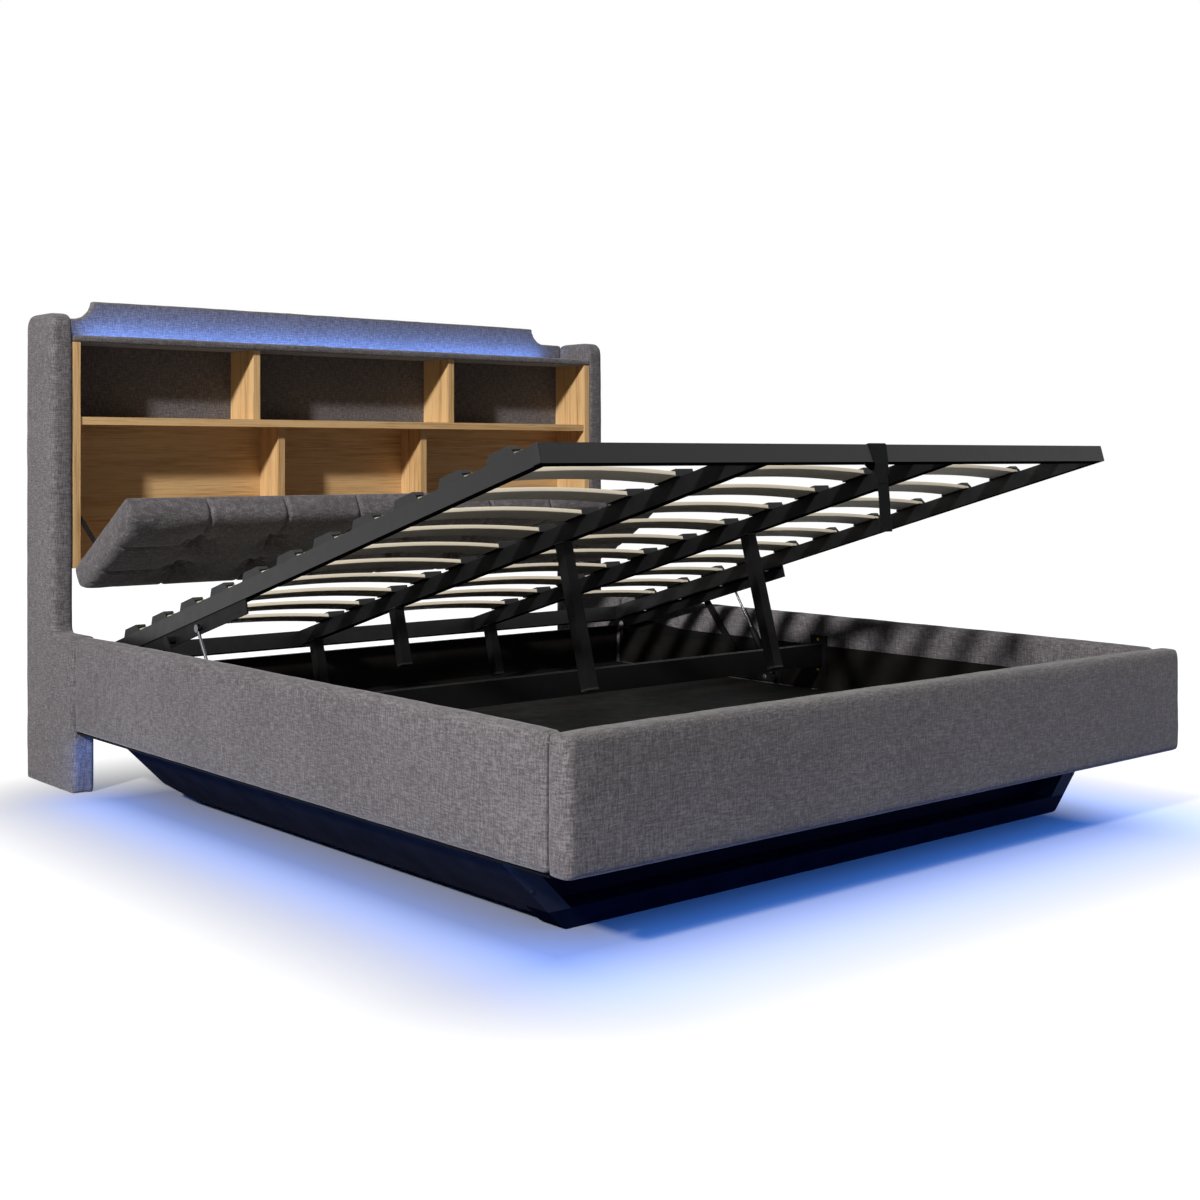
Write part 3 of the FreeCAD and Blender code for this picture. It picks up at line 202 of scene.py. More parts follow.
def woven_cover(name, cloth, turn=0.0, nap=0.0):
    """Linen-look polyester, plain woven from melange yarn: soft matt streaks both ways, faint fuzz."""
    matt = {"Roughness": 0.92, "Specular IOR Level": 0.15, "Sheen Weight": 0.25, "Sheen Roughness": 0.45}
    material, node, surface = finish_named(name, matt)
    place = node("ShaderNodeTexCoord", out="Object")
    level = node("ShaderNodeMapping", {"Vector": place, "Rotation": (math.radians(turn), 0, 0)})
    # Yarns are about 1 mm apart; they are drawn 3 mm wide and 22 mm long, so that slubs show from afar
    warp = node("ShaderNodeMapping", {"Vector": level, "Scale": (320, 320, 45)})
    weft = node("ShaderNodeMapping", {"Vector": level, "Scale": (45, 45, 320)})
    threads = [node("ShaderNodeTexNoise", {"Vector": way, "Scale": 1.0, "Detail": 2.0, "Roughness": 0.6})
               for way in (warp, weft)]
    both = node("ShaderNodeMath", {0: threads[0], 1: threads[1]}, operation="ADD")
    # Fibre fleck of the melange yarn, 3 mm, and slow shading of the bolt of cloth, 300 mm
    fleck = node("ShaderNodeTexNoise", {"Vector": level, "Scale": 330.0, "Detail": 1.0})
    shade = node("ShaderNodeTexNoise", {"Vector": level, "Scale": 3.3, "Detail": 1.0})
    fine = node("ShaderNodeMath", {0: fleck, 1: 0.7, 2: both}, operation="MULTIPLY_ADD")
    mixed = node("ShaderNodeMath", {0: shade, 1: 0.25, 2: fine}, operation="MULTIPLY_ADD")
    # Painted shade: the tone is shifted darker by this amount, which makes the flap's cover darker than the
    # other covers
    tone = node("ShaderNodeMapRange", {"Value": mixed, "From Min": 1.20 + nap, "From Max": 1.75 + nap})
    stops = [(0.0, cloth.yarn_dark), (0.5, cloth.yarn_mid), (1.0, cloth.yarn_pale)]
    yarn = node("ShaderNodeValToRGB", {"Fac": tone}, stops=stops)
    weave = node("ShaderNodeBump", {"Height": tone, "Strength": 0.5, "Distance": 0.0006})
    surface({"Base Color": yarn, "Normal": weave})
    return material


def oak_veneer(name, timber, along):
    """Oak veneer under satin lacquer: straight fine pores in slow broad bands along the grain."""
    material, node, surface = finish_named(name, {"IOR": 1.5, "Specular IOR Level": 0.25})
    place = node("ShaderNodeTexCoord", out="Object")
    # Pores are under 1 mm wide and are drawn 3 mm wide by 140 mm long, growth bands 30 mm by 900 mm
    fine, broad = [330.0] * 3, [33.0] * 3
    fine[along], broad[along] = 7.0, 1.1
    lines = node("ShaderNodeMapping", {"Vector": place, "Scale": fine})
    bands = node("ShaderNodeMapping", {"Vector": place, "Scale": broad})
    pores = node("ShaderNodeTexNoise", {"Vector": lines, "Scale": 1.0, "Detail": 3.0, "Roughness": 0.65})
    growth = node("ShaderNodeTexNoise", {"Vector": bands, "Scale": 1.0, "Detail": 2.0, "Distortion": 0.6})
    grain = node("ShaderNodeMath", {0: pores, 1: 1.6, 2: growth}, operation="MULTIPLY_ADD")
    tone = node("ShaderNodeMapRange", {"Value": grain, "From Min": 0.85, "From Max": 1.55})
    stops = [(0.0, timber.oak_dark), (0.75, timber.oak_pale)]
    wood = node("ShaderNodeValToRGB", {"Fac": tone}, stops=stops)
    gloss = node("ShaderNodeMapRange", {"Value": pores, "To Min": 0.58, "To Max": 0.42})
    relief = node("ShaderNodeBump", {"Height": pores, "Strength": 0.25, "Distance": 0.0004})
    surface({"Base Color": wood, "Roughness": gloss, "Normal": relief})
    return material


def birch_slat(name, timber):
    """Bent birch plywood under lacquer: cream faces with silky streaks, darker glue lines on the edges."""
    material, node, surface = finish_named(name, {"Specular IOR Level": 0.02})
    place = node("ShaderNodeTexCoord", out="Object")
    # Birch figure, 6 mm wide by 120 mm long across the bed
    along = node("ShaderNodeMapping", {"Vector": place, "Scale": (8, 160, 160)})
    figure = node("ShaderNodeTexNoise", {"Vector": along, "Scale": 1.0, "Detail": 2.0})
    tone = node("ShaderNodeAttribute", out="Fac", attribute_name="tone")
    depth = node("ShaderNodeAttribute", out="Fac", attribute_name="ply")
    # Five plies of 2 mm: the glue line comes back every ply of the thickness
    layer = node("ShaderNodeMath", {0: depth, 1: 0.002}, operation="FLOORED_MODULO")
    glue = node("ShaderNodeMapRange", {"Value": layer, "From Min": 0.0003, "From Max": 0.0006})
    value = node("ShaderNodeMath", {0: figure, 1: 0.16, 2: 0.88}, operation="MULTIPLY_ADD")
    value = node("ShaderNodeMath", {0: tone, 1: 0.07, 2: value}, operation="MULTIPLY_ADD")
    pale = node("ShaderNodeHueSaturation", {"Color": timber.slat_pale, "Value": value})
    # Colours mix in the inputs 6 and 7 of the node, and come out of its output 2
    mixed = node("ShaderNodeMix", {"Factor": glue, 6: timber.slat_glue, 7: pale}, out=2, data_type="RGBA")
    silk = node("ShaderNodeMapRange", {"Value": figure, "To Min": 0.46, "To Max": 0.34})
    surface({"Base Color": mixed, "Roughness": silk})
    return material


def grained_solid(name, colour, roughness, pitch, depth, metallic=0.0, mottle=0.18, shine=0.32):
    """Coated, moulded or wrapped finish: even colour, slight mottle, a fine grain that breaks the gloss."""
    material, node, surface = finish_named(name, {"Metallic": metallic})
    place, way = [node("ShaderNodeTexCoord", out=key) for key in ("Object", "Normal")]
    # Painted shade: the gloss fades out on faces that look downwards, so undersides show no reflection
    below = node("ShaderNodeVectorMath", {0: way, 1: (0, 0, -1)}, out="Value", operation="DOT_PRODUCT")
    dull = {"Value": below, "From Min": 0.2, "From Max": 0.7, "To Min": shine, "To Max": 0.0}
    grain = node("ShaderNodeTexNoise", {"Vector": place, "Scale": 1 / pitch, "Detail": 2.0})
    cloud = node("ShaderNodeTexNoise", {"Vector": place, "Scale": 0.06 / pitch, "Detail": 3.0})
    stops = [(0.3, shaded(colour, 1 - mottle)), (0.7, shaded(colour, 1 + mottle))]
    span = {"Value": cloud, "From Min": 0.3, "From Max": 0.7,
            "To Min": roughness * 0.88, "To Max": roughness * 1.12}
    surface({
        "Base Color": node("ShaderNodeValToRGB", {"Fac": cloud}, stops=stops),
        "Roughness": node("ShaderNodeMapRange", span),
        "Specular IOR Level": node("ShaderNodeMapRange", dull),
        "Normal": node("ShaderNodeBump", {"Height": grain, "Strength": 0.3, "Distance": depth}),
    })
    return material


def ground_chrome(name):
    """Dark-chromed rod, centreless ground: bright, with faint rings from grinding."""
    material, node, surface = finish_named(name, {"Metallic": 1.0, "Base Color": linear("#6c6d72")})
    place = node("ShaderNodeTexCoord", out="Object")
    # Grinding rings are far finer than a pixel and are drawn 1.5 mm apart
    rings = node("ShaderNodeMapping", {"Vector": place, "Scale": (60, 300, 660)})
    lines = node("ShaderNodeTexNoise", {"Vector": rings, "Scale": 1.0, "Detail": 2.0})
    surface({"Roughness": node("ShaderNodeMapRange", {"Value": lines, "To Min": 0.1, "To Max": 0.24})})
    return material


def ribbed_webbing(name, colour):
    """Polypropylene webbing, woven flat: ribs along its length and herringbone flecks, dull sheen."""
    material, node, surface = finish_named(name, {"Roughness": 0.85, "Specular IOR Level": 0.1})
    place = node("ShaderNodeTexCoord", out="Object")
    # Ribs are 1.5 mm apart and are drawn 4 mm apart across the strap, with 5 mm picks along it
    bands = {"Vector": place, "Scale": 80.0, "Distortion": 1.5, "Detail": 1.0}
    ribs = node("ShaderNodeTexWave", bands, out="Fac", bands_direction="X")
    picks = node("ShaderNodeTexNoise", {"Vector": place, "Scale": 200.0})
    both = node("ShaderNodeMath", {0: ribs, 1: 0.5, 2: picks}, operation="MULTIPLY_ADD")
    stops = [(0.3, shaded(colour, 0.55)), (0.95, shaded(colour, 1.7))]
    yarn = node("ShaderNodeValToRGB", {"Fac": both}, stops=stops)
    relief = node("ShaderNodeBump", {"Height": both, "Strength": 0.6, "Distance": 0.0006})
    surface({"Base Color": yarn, "Normal": relief})
    return material


def led_tape(name, colour, along, strength, channel, way):
    """LED tape in a channel that shines one way: a blue line, brighter over each diode, every 16.7 mm."""
    dull = {"Base Color": linear(channel), "Roughness": 0.6, "Specular IOR Level": 0.05}
    material, node, surface = finish_named(name, dull)
    place, normal = [node("ShaderNodeTexCoord", out=key) for key in ("Object", "Normal")]
    scale = [60.0 if axis in along else 0.0 for axis in range(3)]
    rows = node("ShaderNodeMapping", {"Vector": place, "Scale": scale})
    bands = {"Vector": rows, "Scale": 0.314}
    diodes = node("ShaderNodeTexWave", bands, out="Fac", bands_direction="DIAGONAL")
    core = tuple(min(1, c + 0.25) for c in colour[:3]) + (1,)
    glow = node("ShaderNodeValToRGB", {"Fac": diodes}, stops=[(0.2, colour), (0.9, core)])
    faces = node("ShaderNodeVectorMath", {0: normal, 1: way}, out="Value", operation="DOT_PRODUCT")
    lit = {"Value": faces, "From Min": 0.4, "From Max": 0.6, "To Max": strength}
    surface({"Emission Color": glow, "Emission Strength": node("ShaderNodeMapRange", lit)})
    return material


def kept(make, name, *values, **settings):
    """The material of that name, made the first time it is asked for."""
    return bpy.data.materials.get(name) or make(name, *values, **settings)


def moulded(metal):
    # Spark-eroded mould texture, drawn 1.5 mm
    return kept(grained_solid, "polypropylene_moulded_black", tuple(metal.plastic), 0.6, 0.0015, 0.0002)


def plated(name, code, roughness):
    # Plated or oxidised steel with a 1 mm grain
    return kept(grained_solid, name, linear(code), roughness, 0.001, 0.0001, metallic=1.0)


def dress(nodes, material):
    """Gives CAD nodes a better finish."""
    for name in nodes:
        shown = NODES[name]
        if not shown.material_slots:
            shown.data.materials.append(material)
        for place in shown.material_slots:
            place.material = material


# Meshes

def piece_of(name, mesh, material, body, slot, *nodes):
    """A finished piece at the origin, riding on a body and standing for CAD nodes."""
    made = bpy.data.objects.new(name, mesh)
    bpy.context.scene.collection.objects.link(made)
    mesh.materials.clear()
    mesh.materials.append(material)
    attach(made, body)
    if nodes:
        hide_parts(*nodes)
    return made


def mesh_of(name, vertices, faces, edges=()):
    mesh = bpy.data.meshes.new(name)
    mesh.from_pydata([tuple(v) for v in vertices], list(edges), [tuple(f) for f in faces])
    mesh.validate()
    return mesh


def carried(name, mesh):
    """An object that carries a mesh while it is worked on."""
    made = bpy.data.objects.new(name, mesh)
    bpy.context.scene.collection.objects.link(made)
    return made


def plain(carrier, name):
    """The mesh that a carrier's modifiers make, once the carrier is gone."""
    graph = bpy.context.evaluated_depsgraph_get()
    made = bpy.data.meshes.new_from_object(carrier.evaluated_get(graph))
    bpy.data.objects.remove(carrier)
    made.name = name
    return made


def evaluated(mesh, name, *modifiers):
    """A plain mesh after a row of modifiers, each given as its kind and its settings."""
    carrier = carried(name, mesh)
    for kind, values in modifiers:
        made = carrier.modifiers.new(kind.lower(), kind)
        for key, value in values.items():
            setattr(made, key, value)
    return plain(carrier, name)


def softened(mesh, name, voxel, rounds):
    """A mesh made anew in small even faces, with its edges smoothed."""
    return evaluated(mesh, name, ("REMESH", {"mode": "VOXEL", "voxel_size": voxel}),
                     ("SMOOTH", {"factor": 0.5, "iterations": rounds}))


def rows_of(items, key):
    flat = np.empty(len(items) * 3)
    items.foreach_get(key, flat)
    return flat.reshape(-1, 3)


def points_of(mesh):
    return rows_of(mesh.vertices, "co")


def shape_of(mesh):
    """The places and the normals of a mesh's vertices."""
    return points_of(mesh), rows_of(mesh.vertex_normals, "vector")


def set_points(mesh, points):
    mesh.vertices.foreach_set("co", np.ascontiguousarray(points).ravel())
    mesh.update()


def bevelled_box(size, edge):
    """A small box with rounded edges, as a mesh in the making."""
    made = bmesh.new()
    bmesh.ops.create_cube(made, size=1)
    for vertex in made.verts:
        vertex.co = Vector(a * b for a, b in zip(vertex.co, size))
    bmesh.ops.bevel(made, geom=list(made.edges), offset=edge, segments=2, affect="EDGES", profile=0.5)
    return made


def joined(name, parts):
    """One mesh out of several in the making."""
    whole = bmesh.new()
    for part in parts:
        spare = bpy.data.meshes.new("spare")
        part.to_mesh(spare)
        part.free()
        whole.from_mesh(spare)
        bpy.data.meshes.remove(spare)
    bmesh.ops.recalc_face_normals(whole, faces=list(whole.faces))
    mesh = bpy.data.meshes.new(name)
    whole.to_mesh(mesh)
    whole.free()
    return mesh


def node_mesh(*nodes):
    """A merged copy of CAD nodes, as one mesh."""
    parts = []
    for name in nodes:
        part = bmesh.new()
        part.from_mesh(NODES[name].data)
        bmesh.ops.remove_doubles(part, verts=list(part.verts), dist=0.0001)
        parts.append(part)
    return joined("_".join(nodes), parts)


def turned_profile(name, profile, steps):
    """A solid of revolution about Z, from pairs of radius and height."""
    vertices, faces = [], []
    for radius, height in profile:
        for step in range(steps):
            turn = 2 * math.pi * step / steps
            vertices.append((radius * math.cos(turn), radius * math.sin(turn), height))
    top = (len(profile) - 1) * steps
    for low in range(0, top, steps):
        high = low + steps
        for step in range(steps):
            after = (step + 1) % steps
            faces.append((low + step, low + after, high + after, high + step))
    faces += [tuple(reversed(range(steps))), tuple(range(top, top + steps))]
    return mesh_of(name, vertices, faces)


# Geometry Nodes

def new_tree(name, inputs):
    """A new node tree, with the function that adds its nodes and its given inputs."""
    tree = bpy.data.node_groups.new(name, "GeometryNodeTree")
    tree.interface.new_socket("Geometry", in_out="INPUT", socket_type="NodeSocketGeometry")
    for label, kind in inputs.items():
        tree.interface.new_socket(label, in_out="INPUT", socket_type="NodeSocket" + kind)
    tree.interface.new_socket("Geometry", in_out="OUTPUT", socket_type="NodeSocketGeometry")
    return tree, partial(add, tree), add(tree, "NodeGroupInput", out=None).outputs


def close_tree(tree, geometry, finish):
    solid = add(tree, "GeometryNodeRealizeInstances", {"Geometry": geometry})
    dressed = add(tree, "GeometryNodeSetMaterial", {"Geometry": solid, "Material": finish})
    add(tree, "NodeGroupOutput", {0: dressed}, out=None)
    return tree


def grown(name, tree, values, start=None):
    """The plain mesh that a node tree makes, with its inputs set by their identifiers."""
    carrier = carried(name, start or bpy.data.meshes.new(name))
    modifier = carrier.modifiers.new("made", "NODES")
    modifier.node_group = tree
    for item in tree.interface.items_tree:
        if item.in_out == "INPUT" and item.name in values:
            modifier[item.identifier] = values[item.name]
    result = plain(carrier, name)
    if not result.polygons:
        raise RuntimeError(f"{name}: the node tree made nothing")
    return result


def fittings_tree(name):
    """Puts one fitting, such as a bolt, a button or a plug, on each point."""
    tree, node, given = new_tree(name, {"Fitting": "Object", "Turn": "Vector", "Finish": "Material"})
    source = {"Object": given["Fitting"], "As Instance": True}
    item = node("GeometryNodeObjectInfo", source, out="Geometry")
    turn = node("FunctionNodeEulerToRotation", {0: given["Turn"]})
    spread = {"Points": given["Geometry"], "Instance": item, "Rotation": turn}
    return close_tree(tree, node("GeometryNodeInstanceOnPoints", spread), given["Finish"])


def bead_tree(name):
    """Sweeps a round seam or weld bead along a path of edges, thicker and thinner along it."""
    inputs = {"Radius": "Float", "Step": "Float", "Uneven": "Float", "Finish": "Material"}
    tree, node, given = new_tree(name, inputs)
    path = node("GeometryNodeMeshToCurve", {"Mesh": given["Geometry"]})
    even = node("GeometryNodeResampleCurve", {"Curve": path, "Length": given["Step"]}, mode="LENGTH")
    drawn = node("FunctionNodeRandomValue", {"Seed": 5}, out="Value", data_type="FLOAT")
    spread = node("ShaderNodeMath", {0: drawn, 1: given["Uneven"]}, operation="MULTIPLY")
    width = node("ShaderNodeMath", {0: 1.0, 1: spread}, operation="SUBTRACT")
    wire = node("GeometryNodeCurvePrimitiveCircle", {"Resolution": 8, "Radius": given["Radius"]})
    swept = {"Curve": even, "Profile Curve": wire, "Scale": width, "Fill Caps": True}
    smooth = node("GeometryNodeSetShadeSmooth", {0: node("GeometryNodeCurveToMesh", swept)})
    return close_tree(tree, smooth, given["Finish"])


def slat_tree(name):
    """A column of slats: a rounded section swept across, bowed, repeated along the platform, and raised."""
    lengths = ["First", "Pitch", "From", "To", "Width", "Thickness", "Bow", "Edge", "Seat"]
    inputs = {"Count": "Int", **dict.fromkeys(lengths, "Float"), "Pivot": "Vector", "Turn": "Vector",
              "Seed": "Int", "Finish": "Material"}
    tree, node, given = new_tree(name, inputs)
    start, end = [node("ShaderNodeCombineXYZ", {"X": given[key]}) for key in ("From", "To")]
    line = node("GeometryNodeCurvePrimitiveLine", {"Start": start, "End": end})
    steps = node("GeometryNodeResampleCurve", {"Curve": line, "Count": 25})
    level = node("GeometryNodeSetCurveNormal", {"Curve": steps}, mode="Z_UP")
    sides = {"Width": given["Width"], "Height": given["Thickness"]}
    section = node("GeometryNodeCurvePrimitiveQuadrilateral", sides)
    corners = {"Curve": section, "Count": 3, "Radius": given["Edge"], "Limit Radius": True}
    eased = node("GeometryNodeFilletCurve", corners, mode="POLY")
    swept = {"Curve": level, "Profile Curve": eased, "Fill Caps": True}
    blank = node("GeometryNodeCurveToMesh", swept)
    where = node("ShaderNodeSeparateXYZ", {0: node("GeometryNodeInputPosition")}, out=None).outputs
    plies = {"Geometry": blank, "Name": "ply", "Value": where["Z"]}
    layered = node("GeometryNodeStoreNamedAttribute", plies, data_type="FLOAT", domain="POINT")
    reach = {"Value": where["X"], "From Min": given["From"], "From Max": given["To"],
             "To Min": -1.0, "To Max": 1.0}
    share = node("ShaderNodeMapRange", reach)
    square = node("ShaderNodeMath", {0: share, 1: share}, operation="MULTIPLY")
    left = node("ShaderNodeMath", {0: 1.0, 1: square}, operation="SUBTRACT")
    rise = node("ShaderNodeMath", {0: left, 1: given["Bow"]}, operation="MULTIPLY")
    lift = node("ShaderNodeCombineXYZ", {"Z": rise})
    bent = node("GeometryNodeSetPosition", {"Geometry": layered, "Offset": lift})
    back, step = [node("ShaderNodeMath", {0: given[key], 1: -1.0}, operation="MULTIPLY")
                  for key in ("First", "Pitch")]
    first = node("ShaderNodeCombineXYZ", {"Y": back, "Z": given["Seat"]})
    stride = node("ShaderNodeCombineXYZ", {"Y": step})
    places = {"Count": given["Count"], "Start Location": first, "Offset": stride}
    row = node("GeometryNodeMeshLine", places, mode="OFFSET")
    placed = node("GeometryNodeInstanceOnPoints", {"Points": row, "Instance": bent})
    drawn = node("FunctionNodeRandomValue", {"Seed": given["Seed"]}, out="Value", data_type="FLOAT")
    tones = {"Geometry": placed, "Name": "tone", "Value": drawn}
    toned = node("GeometryNodeStoreNamedAttribute", tones, data_type="FLOAT", domain="INSTANCE")
    solid = node("GeometryNodeRealizeInstances", {"Geometry": toned})
    move = {"Geometry": solid, "Translation": given["Pivot"], "Rotation": given["Turn"]}
    return close_tree(tree, node("GeometryNodeTransform", move), given["Finish"])


def tree_of(make, name):
    """The node tree of that name, made the first time it is asked for."""
    return bpy.data.node_groups.get(name) or make(name)


def fittings(name, fitting, points, turn, material, body, slot):
    """Like fittings on a list of points, as one piece."""
    carrier = bpy.data.objects.new(name + "_one", fitting)
    values = {"Fitting": carrier, "Turn": turn, "Finish": material}
    tree = tree_of(fittings_tree, "fitting_on_points")
    mesh = grown(name, tree, values, mesh_of(name + "_places", points, []))
    bpy.data.objects.remove(carrier)
    return piece_of(name, mesh, material, body, slot)


def beads(name, paths, radius, step, uneven, material, body, slot):
    """Seams or weld beads along paths of points, as one piece."""
    vertices, edges = [], []
    for path in paths:
        start = len(vertices)
        vertices += path
        edges += [(start + i, start + i + 1) for i in range(len(path) - 1)]
    values = {"Radius": radius, "Step": step, "Uneven": uneven, "Finish": material}
    tree = tree_of(bead_tree, "bead_along_path")
    mesh = grown(name, tree, values, mesh_of(name + "_path", vertices, [], edges))
    return piece_of(name, mesh, material, body, slot)


# Upholstery

def cover_board(name, node, lifted, softening, cloth, material):
    """A foam-wrapped board under a stretched cover: soft edges, a slight crown, and small unevenness."""
    mesh = softened(node_mesh(node), name, cloth.voxel, softening)
    low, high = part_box(node)
    points, normals = shape_of(mesh)
    share = np.abs(2 * (points - np.array(low)) / np.array(high - low) - 1).clip(0, 1)
    crown = np.prod(1 - (1 - np.abs(normals)) * share ** 5, axis=1)
    facing = sum(np.maximum(0, normals @ np.array(way, float)) for way in lifted).clip(0, 1)
    # The cover waves over 90 mm, and less over 32 mm
    uneven = np.array([noise.noise(Vector(p) * 11.0) + 0.6 * noise.noise(Vector(p) * 31.0) for p in points])
    step = facing * (cloth.swell * crown + cloth.ripple * uneven)
    # The covers are drawn in where the rails meet the footboard and the wings
    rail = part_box("left_rail")
    joins = np.abs(points[:, 1, None] - np.array([rail[0].y, rail[1].y])).min(axis=1)
    near = (np.abs(points[:, 0]) > abs(rail[1].x)) * np.exp(-(joins / cloth.join_reach) ** 2)
    along = np.abs(normals[:, 1])
    step = step - near * (cloth.join_depth * (1 - along) + cloth.join_gap * along)
    set_points(mesh, points + normals * step[:, None])
    mesh.shade_smooth()
    made = piece_of(name, mesh, material, "bed_frame", "grey_fabric", node)
    return made


def simulated(mesh, pins, reach, pressure=4.0, frames=20):
    """Blows up a sewn cover with Cloth and returns its mesh, with no point moved by more than the reach."""
    carrier = carried("cushion_blank", mesh)
    scene = bpy.context.scene
    group = carrier.vertex_groups.new(name="sewn")
    for weight in sorted(set(pins.values())):
        group.add([index for index, value in pins.items() if value == weight], weight, "REPLACE")
    cloth = carrier.modifiers.new("cover", "CLOTH")
    values = cloth.settings
    values.quality = 6
    values.mass = 0.35
    values.tension_stiffness = values.compression_stiffness = 18
    values.shear_stiffness = 6
    values.bending_stiffness = 0.6
    values.air_damping = 4
    values.vertex_group_mass = "sewn"
    values.pin_stiffness = 2.0
    values.use_pressure = True
    values.uniform_pressure_force = pressure
    values.effector_weights.gravity = 0
    cloth.point_cache.frame_start, cloth.point_cache.frame_end = 1, frames
    for number in range(1, frames + 1):
        scene.frame_set(number)
    result = plain(carrier, "cushion_blown_up")
    start = points_of(mesh)
    move = points_of(result) - start
    far = np.linalg.norm(move, axis=1)
    move *= np.minimum(1, reach / np.maximum(far, 1e-9))[:, None]
    set_points(result, start + move)
    scene.frame_set(1)
    return result


def filled(mesh):
    """The hull of a mesh: the cushion before it is tufted."""
    made = bmesh.new()
    for point in points_of(mesh):
        made.verts.new(point)
    found = bmesh.ops.convex_hull(made, input=list(made.verts))
    inner = [item for item in found["geom_interior"] if isinstance(item, bmesh.types.BMVert)]
    bmesh.ops.delete(made, geom=inner, context="VERTS")
    return joined(mesh.name + "_filled", [made])


def tuft_fields(points):
    """For points in the flap's axes: distance and angle to each tuft, and the share of a border seam."""
    seam_half, rise, run = 0.005, 0.09, 0.16
    x, z = points[:, 0], points[:, 2]
    polar = [(np.hypot(x - c, z - r), np.arctan2(z - r, x - c)) for c in TUFT_COLUMNS for r in TUFT_ROWS]
    beyond = (np.maximum(z - TUFT_ROWS[1], TUFT_ROWS[0] - z) / rise).clip(0, 1)
    upright = sum(np.exp(-((x - c) / seam_half) ** 2) for c in TUFT_COLUMNS) * beyond
    outside = ((np.abs(x) - TUFT_COLUMNS[-1]) / run).clip(0, 1)
    level = sum(np.exp(-((z - r) / seam_half) ** 2) for r in TUFT_ROWS) * outside
    return polar, np.maximum(upright, level)


def tufted_cushion(cloth):
    """The flap's cushion in the flap's axes: drawn in at the tufts, with seams across its border."""
    source = node_mesh("flap_cushion", "flap_board")
    source.transform(ON_FLAP.inverted())
    mesh = softened(filled(source), "flap_cushion_start", cloth.cushion_voxel, 4)
    points, normals = shape_of(mesh)
    back = points[:, 1].max()
    # The blank is cut slightly small, since pressure swells it
    small_across, small_up, middle = 0.996, 0.985, 0.205
    points[:, 0] *= small_across
    points[:, 2] = middle + (points[:, 2] - middle) * small_up
    polar, seam = tuft_fields(points)
    front = np.maximum(0, -normals[:, 1])
    tuft_reach, tied_reach, hem = 0.030, 0.014, 0.012
    points[:, 1] += front * sum(cloth.tuft_depth * np.exp(-(far / tuft_reach) ** 1.4) for far, _ in polar)
    set_points(mesh, points)
    tied = (np.min([far for far, _ in polar], axis=0) < tied_reach) & (front > 0.3)
    held = np.where((points[:, 1] > back - hem) | tied, 1.0, np.where(seam > 0.5, 0.6, 0.0))
    pins = {index: float(weight) for index, weight in enumerate(held) if weight}
    mesh = simulated(mesh, pins, cloth.cushion_reach)
    mesh = evaluated(mesh, "flap_cushion_cover", ("SUBSURF", {"levels": 1, "render_levels": 1}))
    points, normals = shape_of(mesh)
    polar, seam = tuft_fields(points)
    front, back = np.maximum(0, -normals[:, 1]), np.maximum(0, normals[:, 1])
    # Five folds stand round each tuft like a star, turned a little further from tuft to tuft
    ring, ring_width, next_turn = 0.024, 0.017, 1.7
    folds = sum(np.exp(-((far - ring) / ring_width) ** 2) * np.cos(5 * turn + next_turn * number)
                for number, (far, turn) in enumerate(polar))
    step = cloth.fold_depth * folds * front - cloth.seam_depth * seam * (1 - back)
    set_points(mesh, points + normals * step[:, None])
    return mesh


def struck(surface, start, way):
    """Where a ray in the flap's axes first meets the cushion, or None."""
    found, place, *_ = surface.ray_cast(Vector(start), Vector(way))
    return place if found else None


class BED_OT_covers(bpy.types.Operator):
    """Foam-wrapped boards of the headboard and the box, under one woven cover each"""
    bl_idname = "bed.covers"
    bl_label = "Upholstered boards"

    def execute(self, context):
        cloth = settings_of(context)[0]
        material = kept(woven_cover, "polyester_melange_weave", cloth)
        for name, (node, lifted, fill, softening) in PANELS.items():
            cover_board(name, node, lifted, softening, cloth, material)
        return {"FINISHED"}


class BED_OT_corner_folds(bpy.types.Operator):
    """Seam beads along the ends of the footboard's cover, where it is folded round the corners"""
    bl_idname = "bed.corner_folds"
    bl_label = "Corner folds"

    def execute(self, context):
        material = kept(woven_cover, "polyester_melange_weave", settings_of(context)[0])
        low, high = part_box("footboard")
        rise = high.z - 0.017
        paths = []
        for sign in (-1, 1):
            side = sign * (high.x + 0.0012)
            paths.append([(side, high.y - 0.004, rise), (side, low.y + 0.030, rise - 0.001),
                          (side - sign * 0.006, low.y + 0.012, rise - 0.001)])
        beads("footboard_corner_folds", paths, 0.0016, 0.006, 0.3, material, "bed_frame", "grey_fabric")
        return {"FINISHED"}


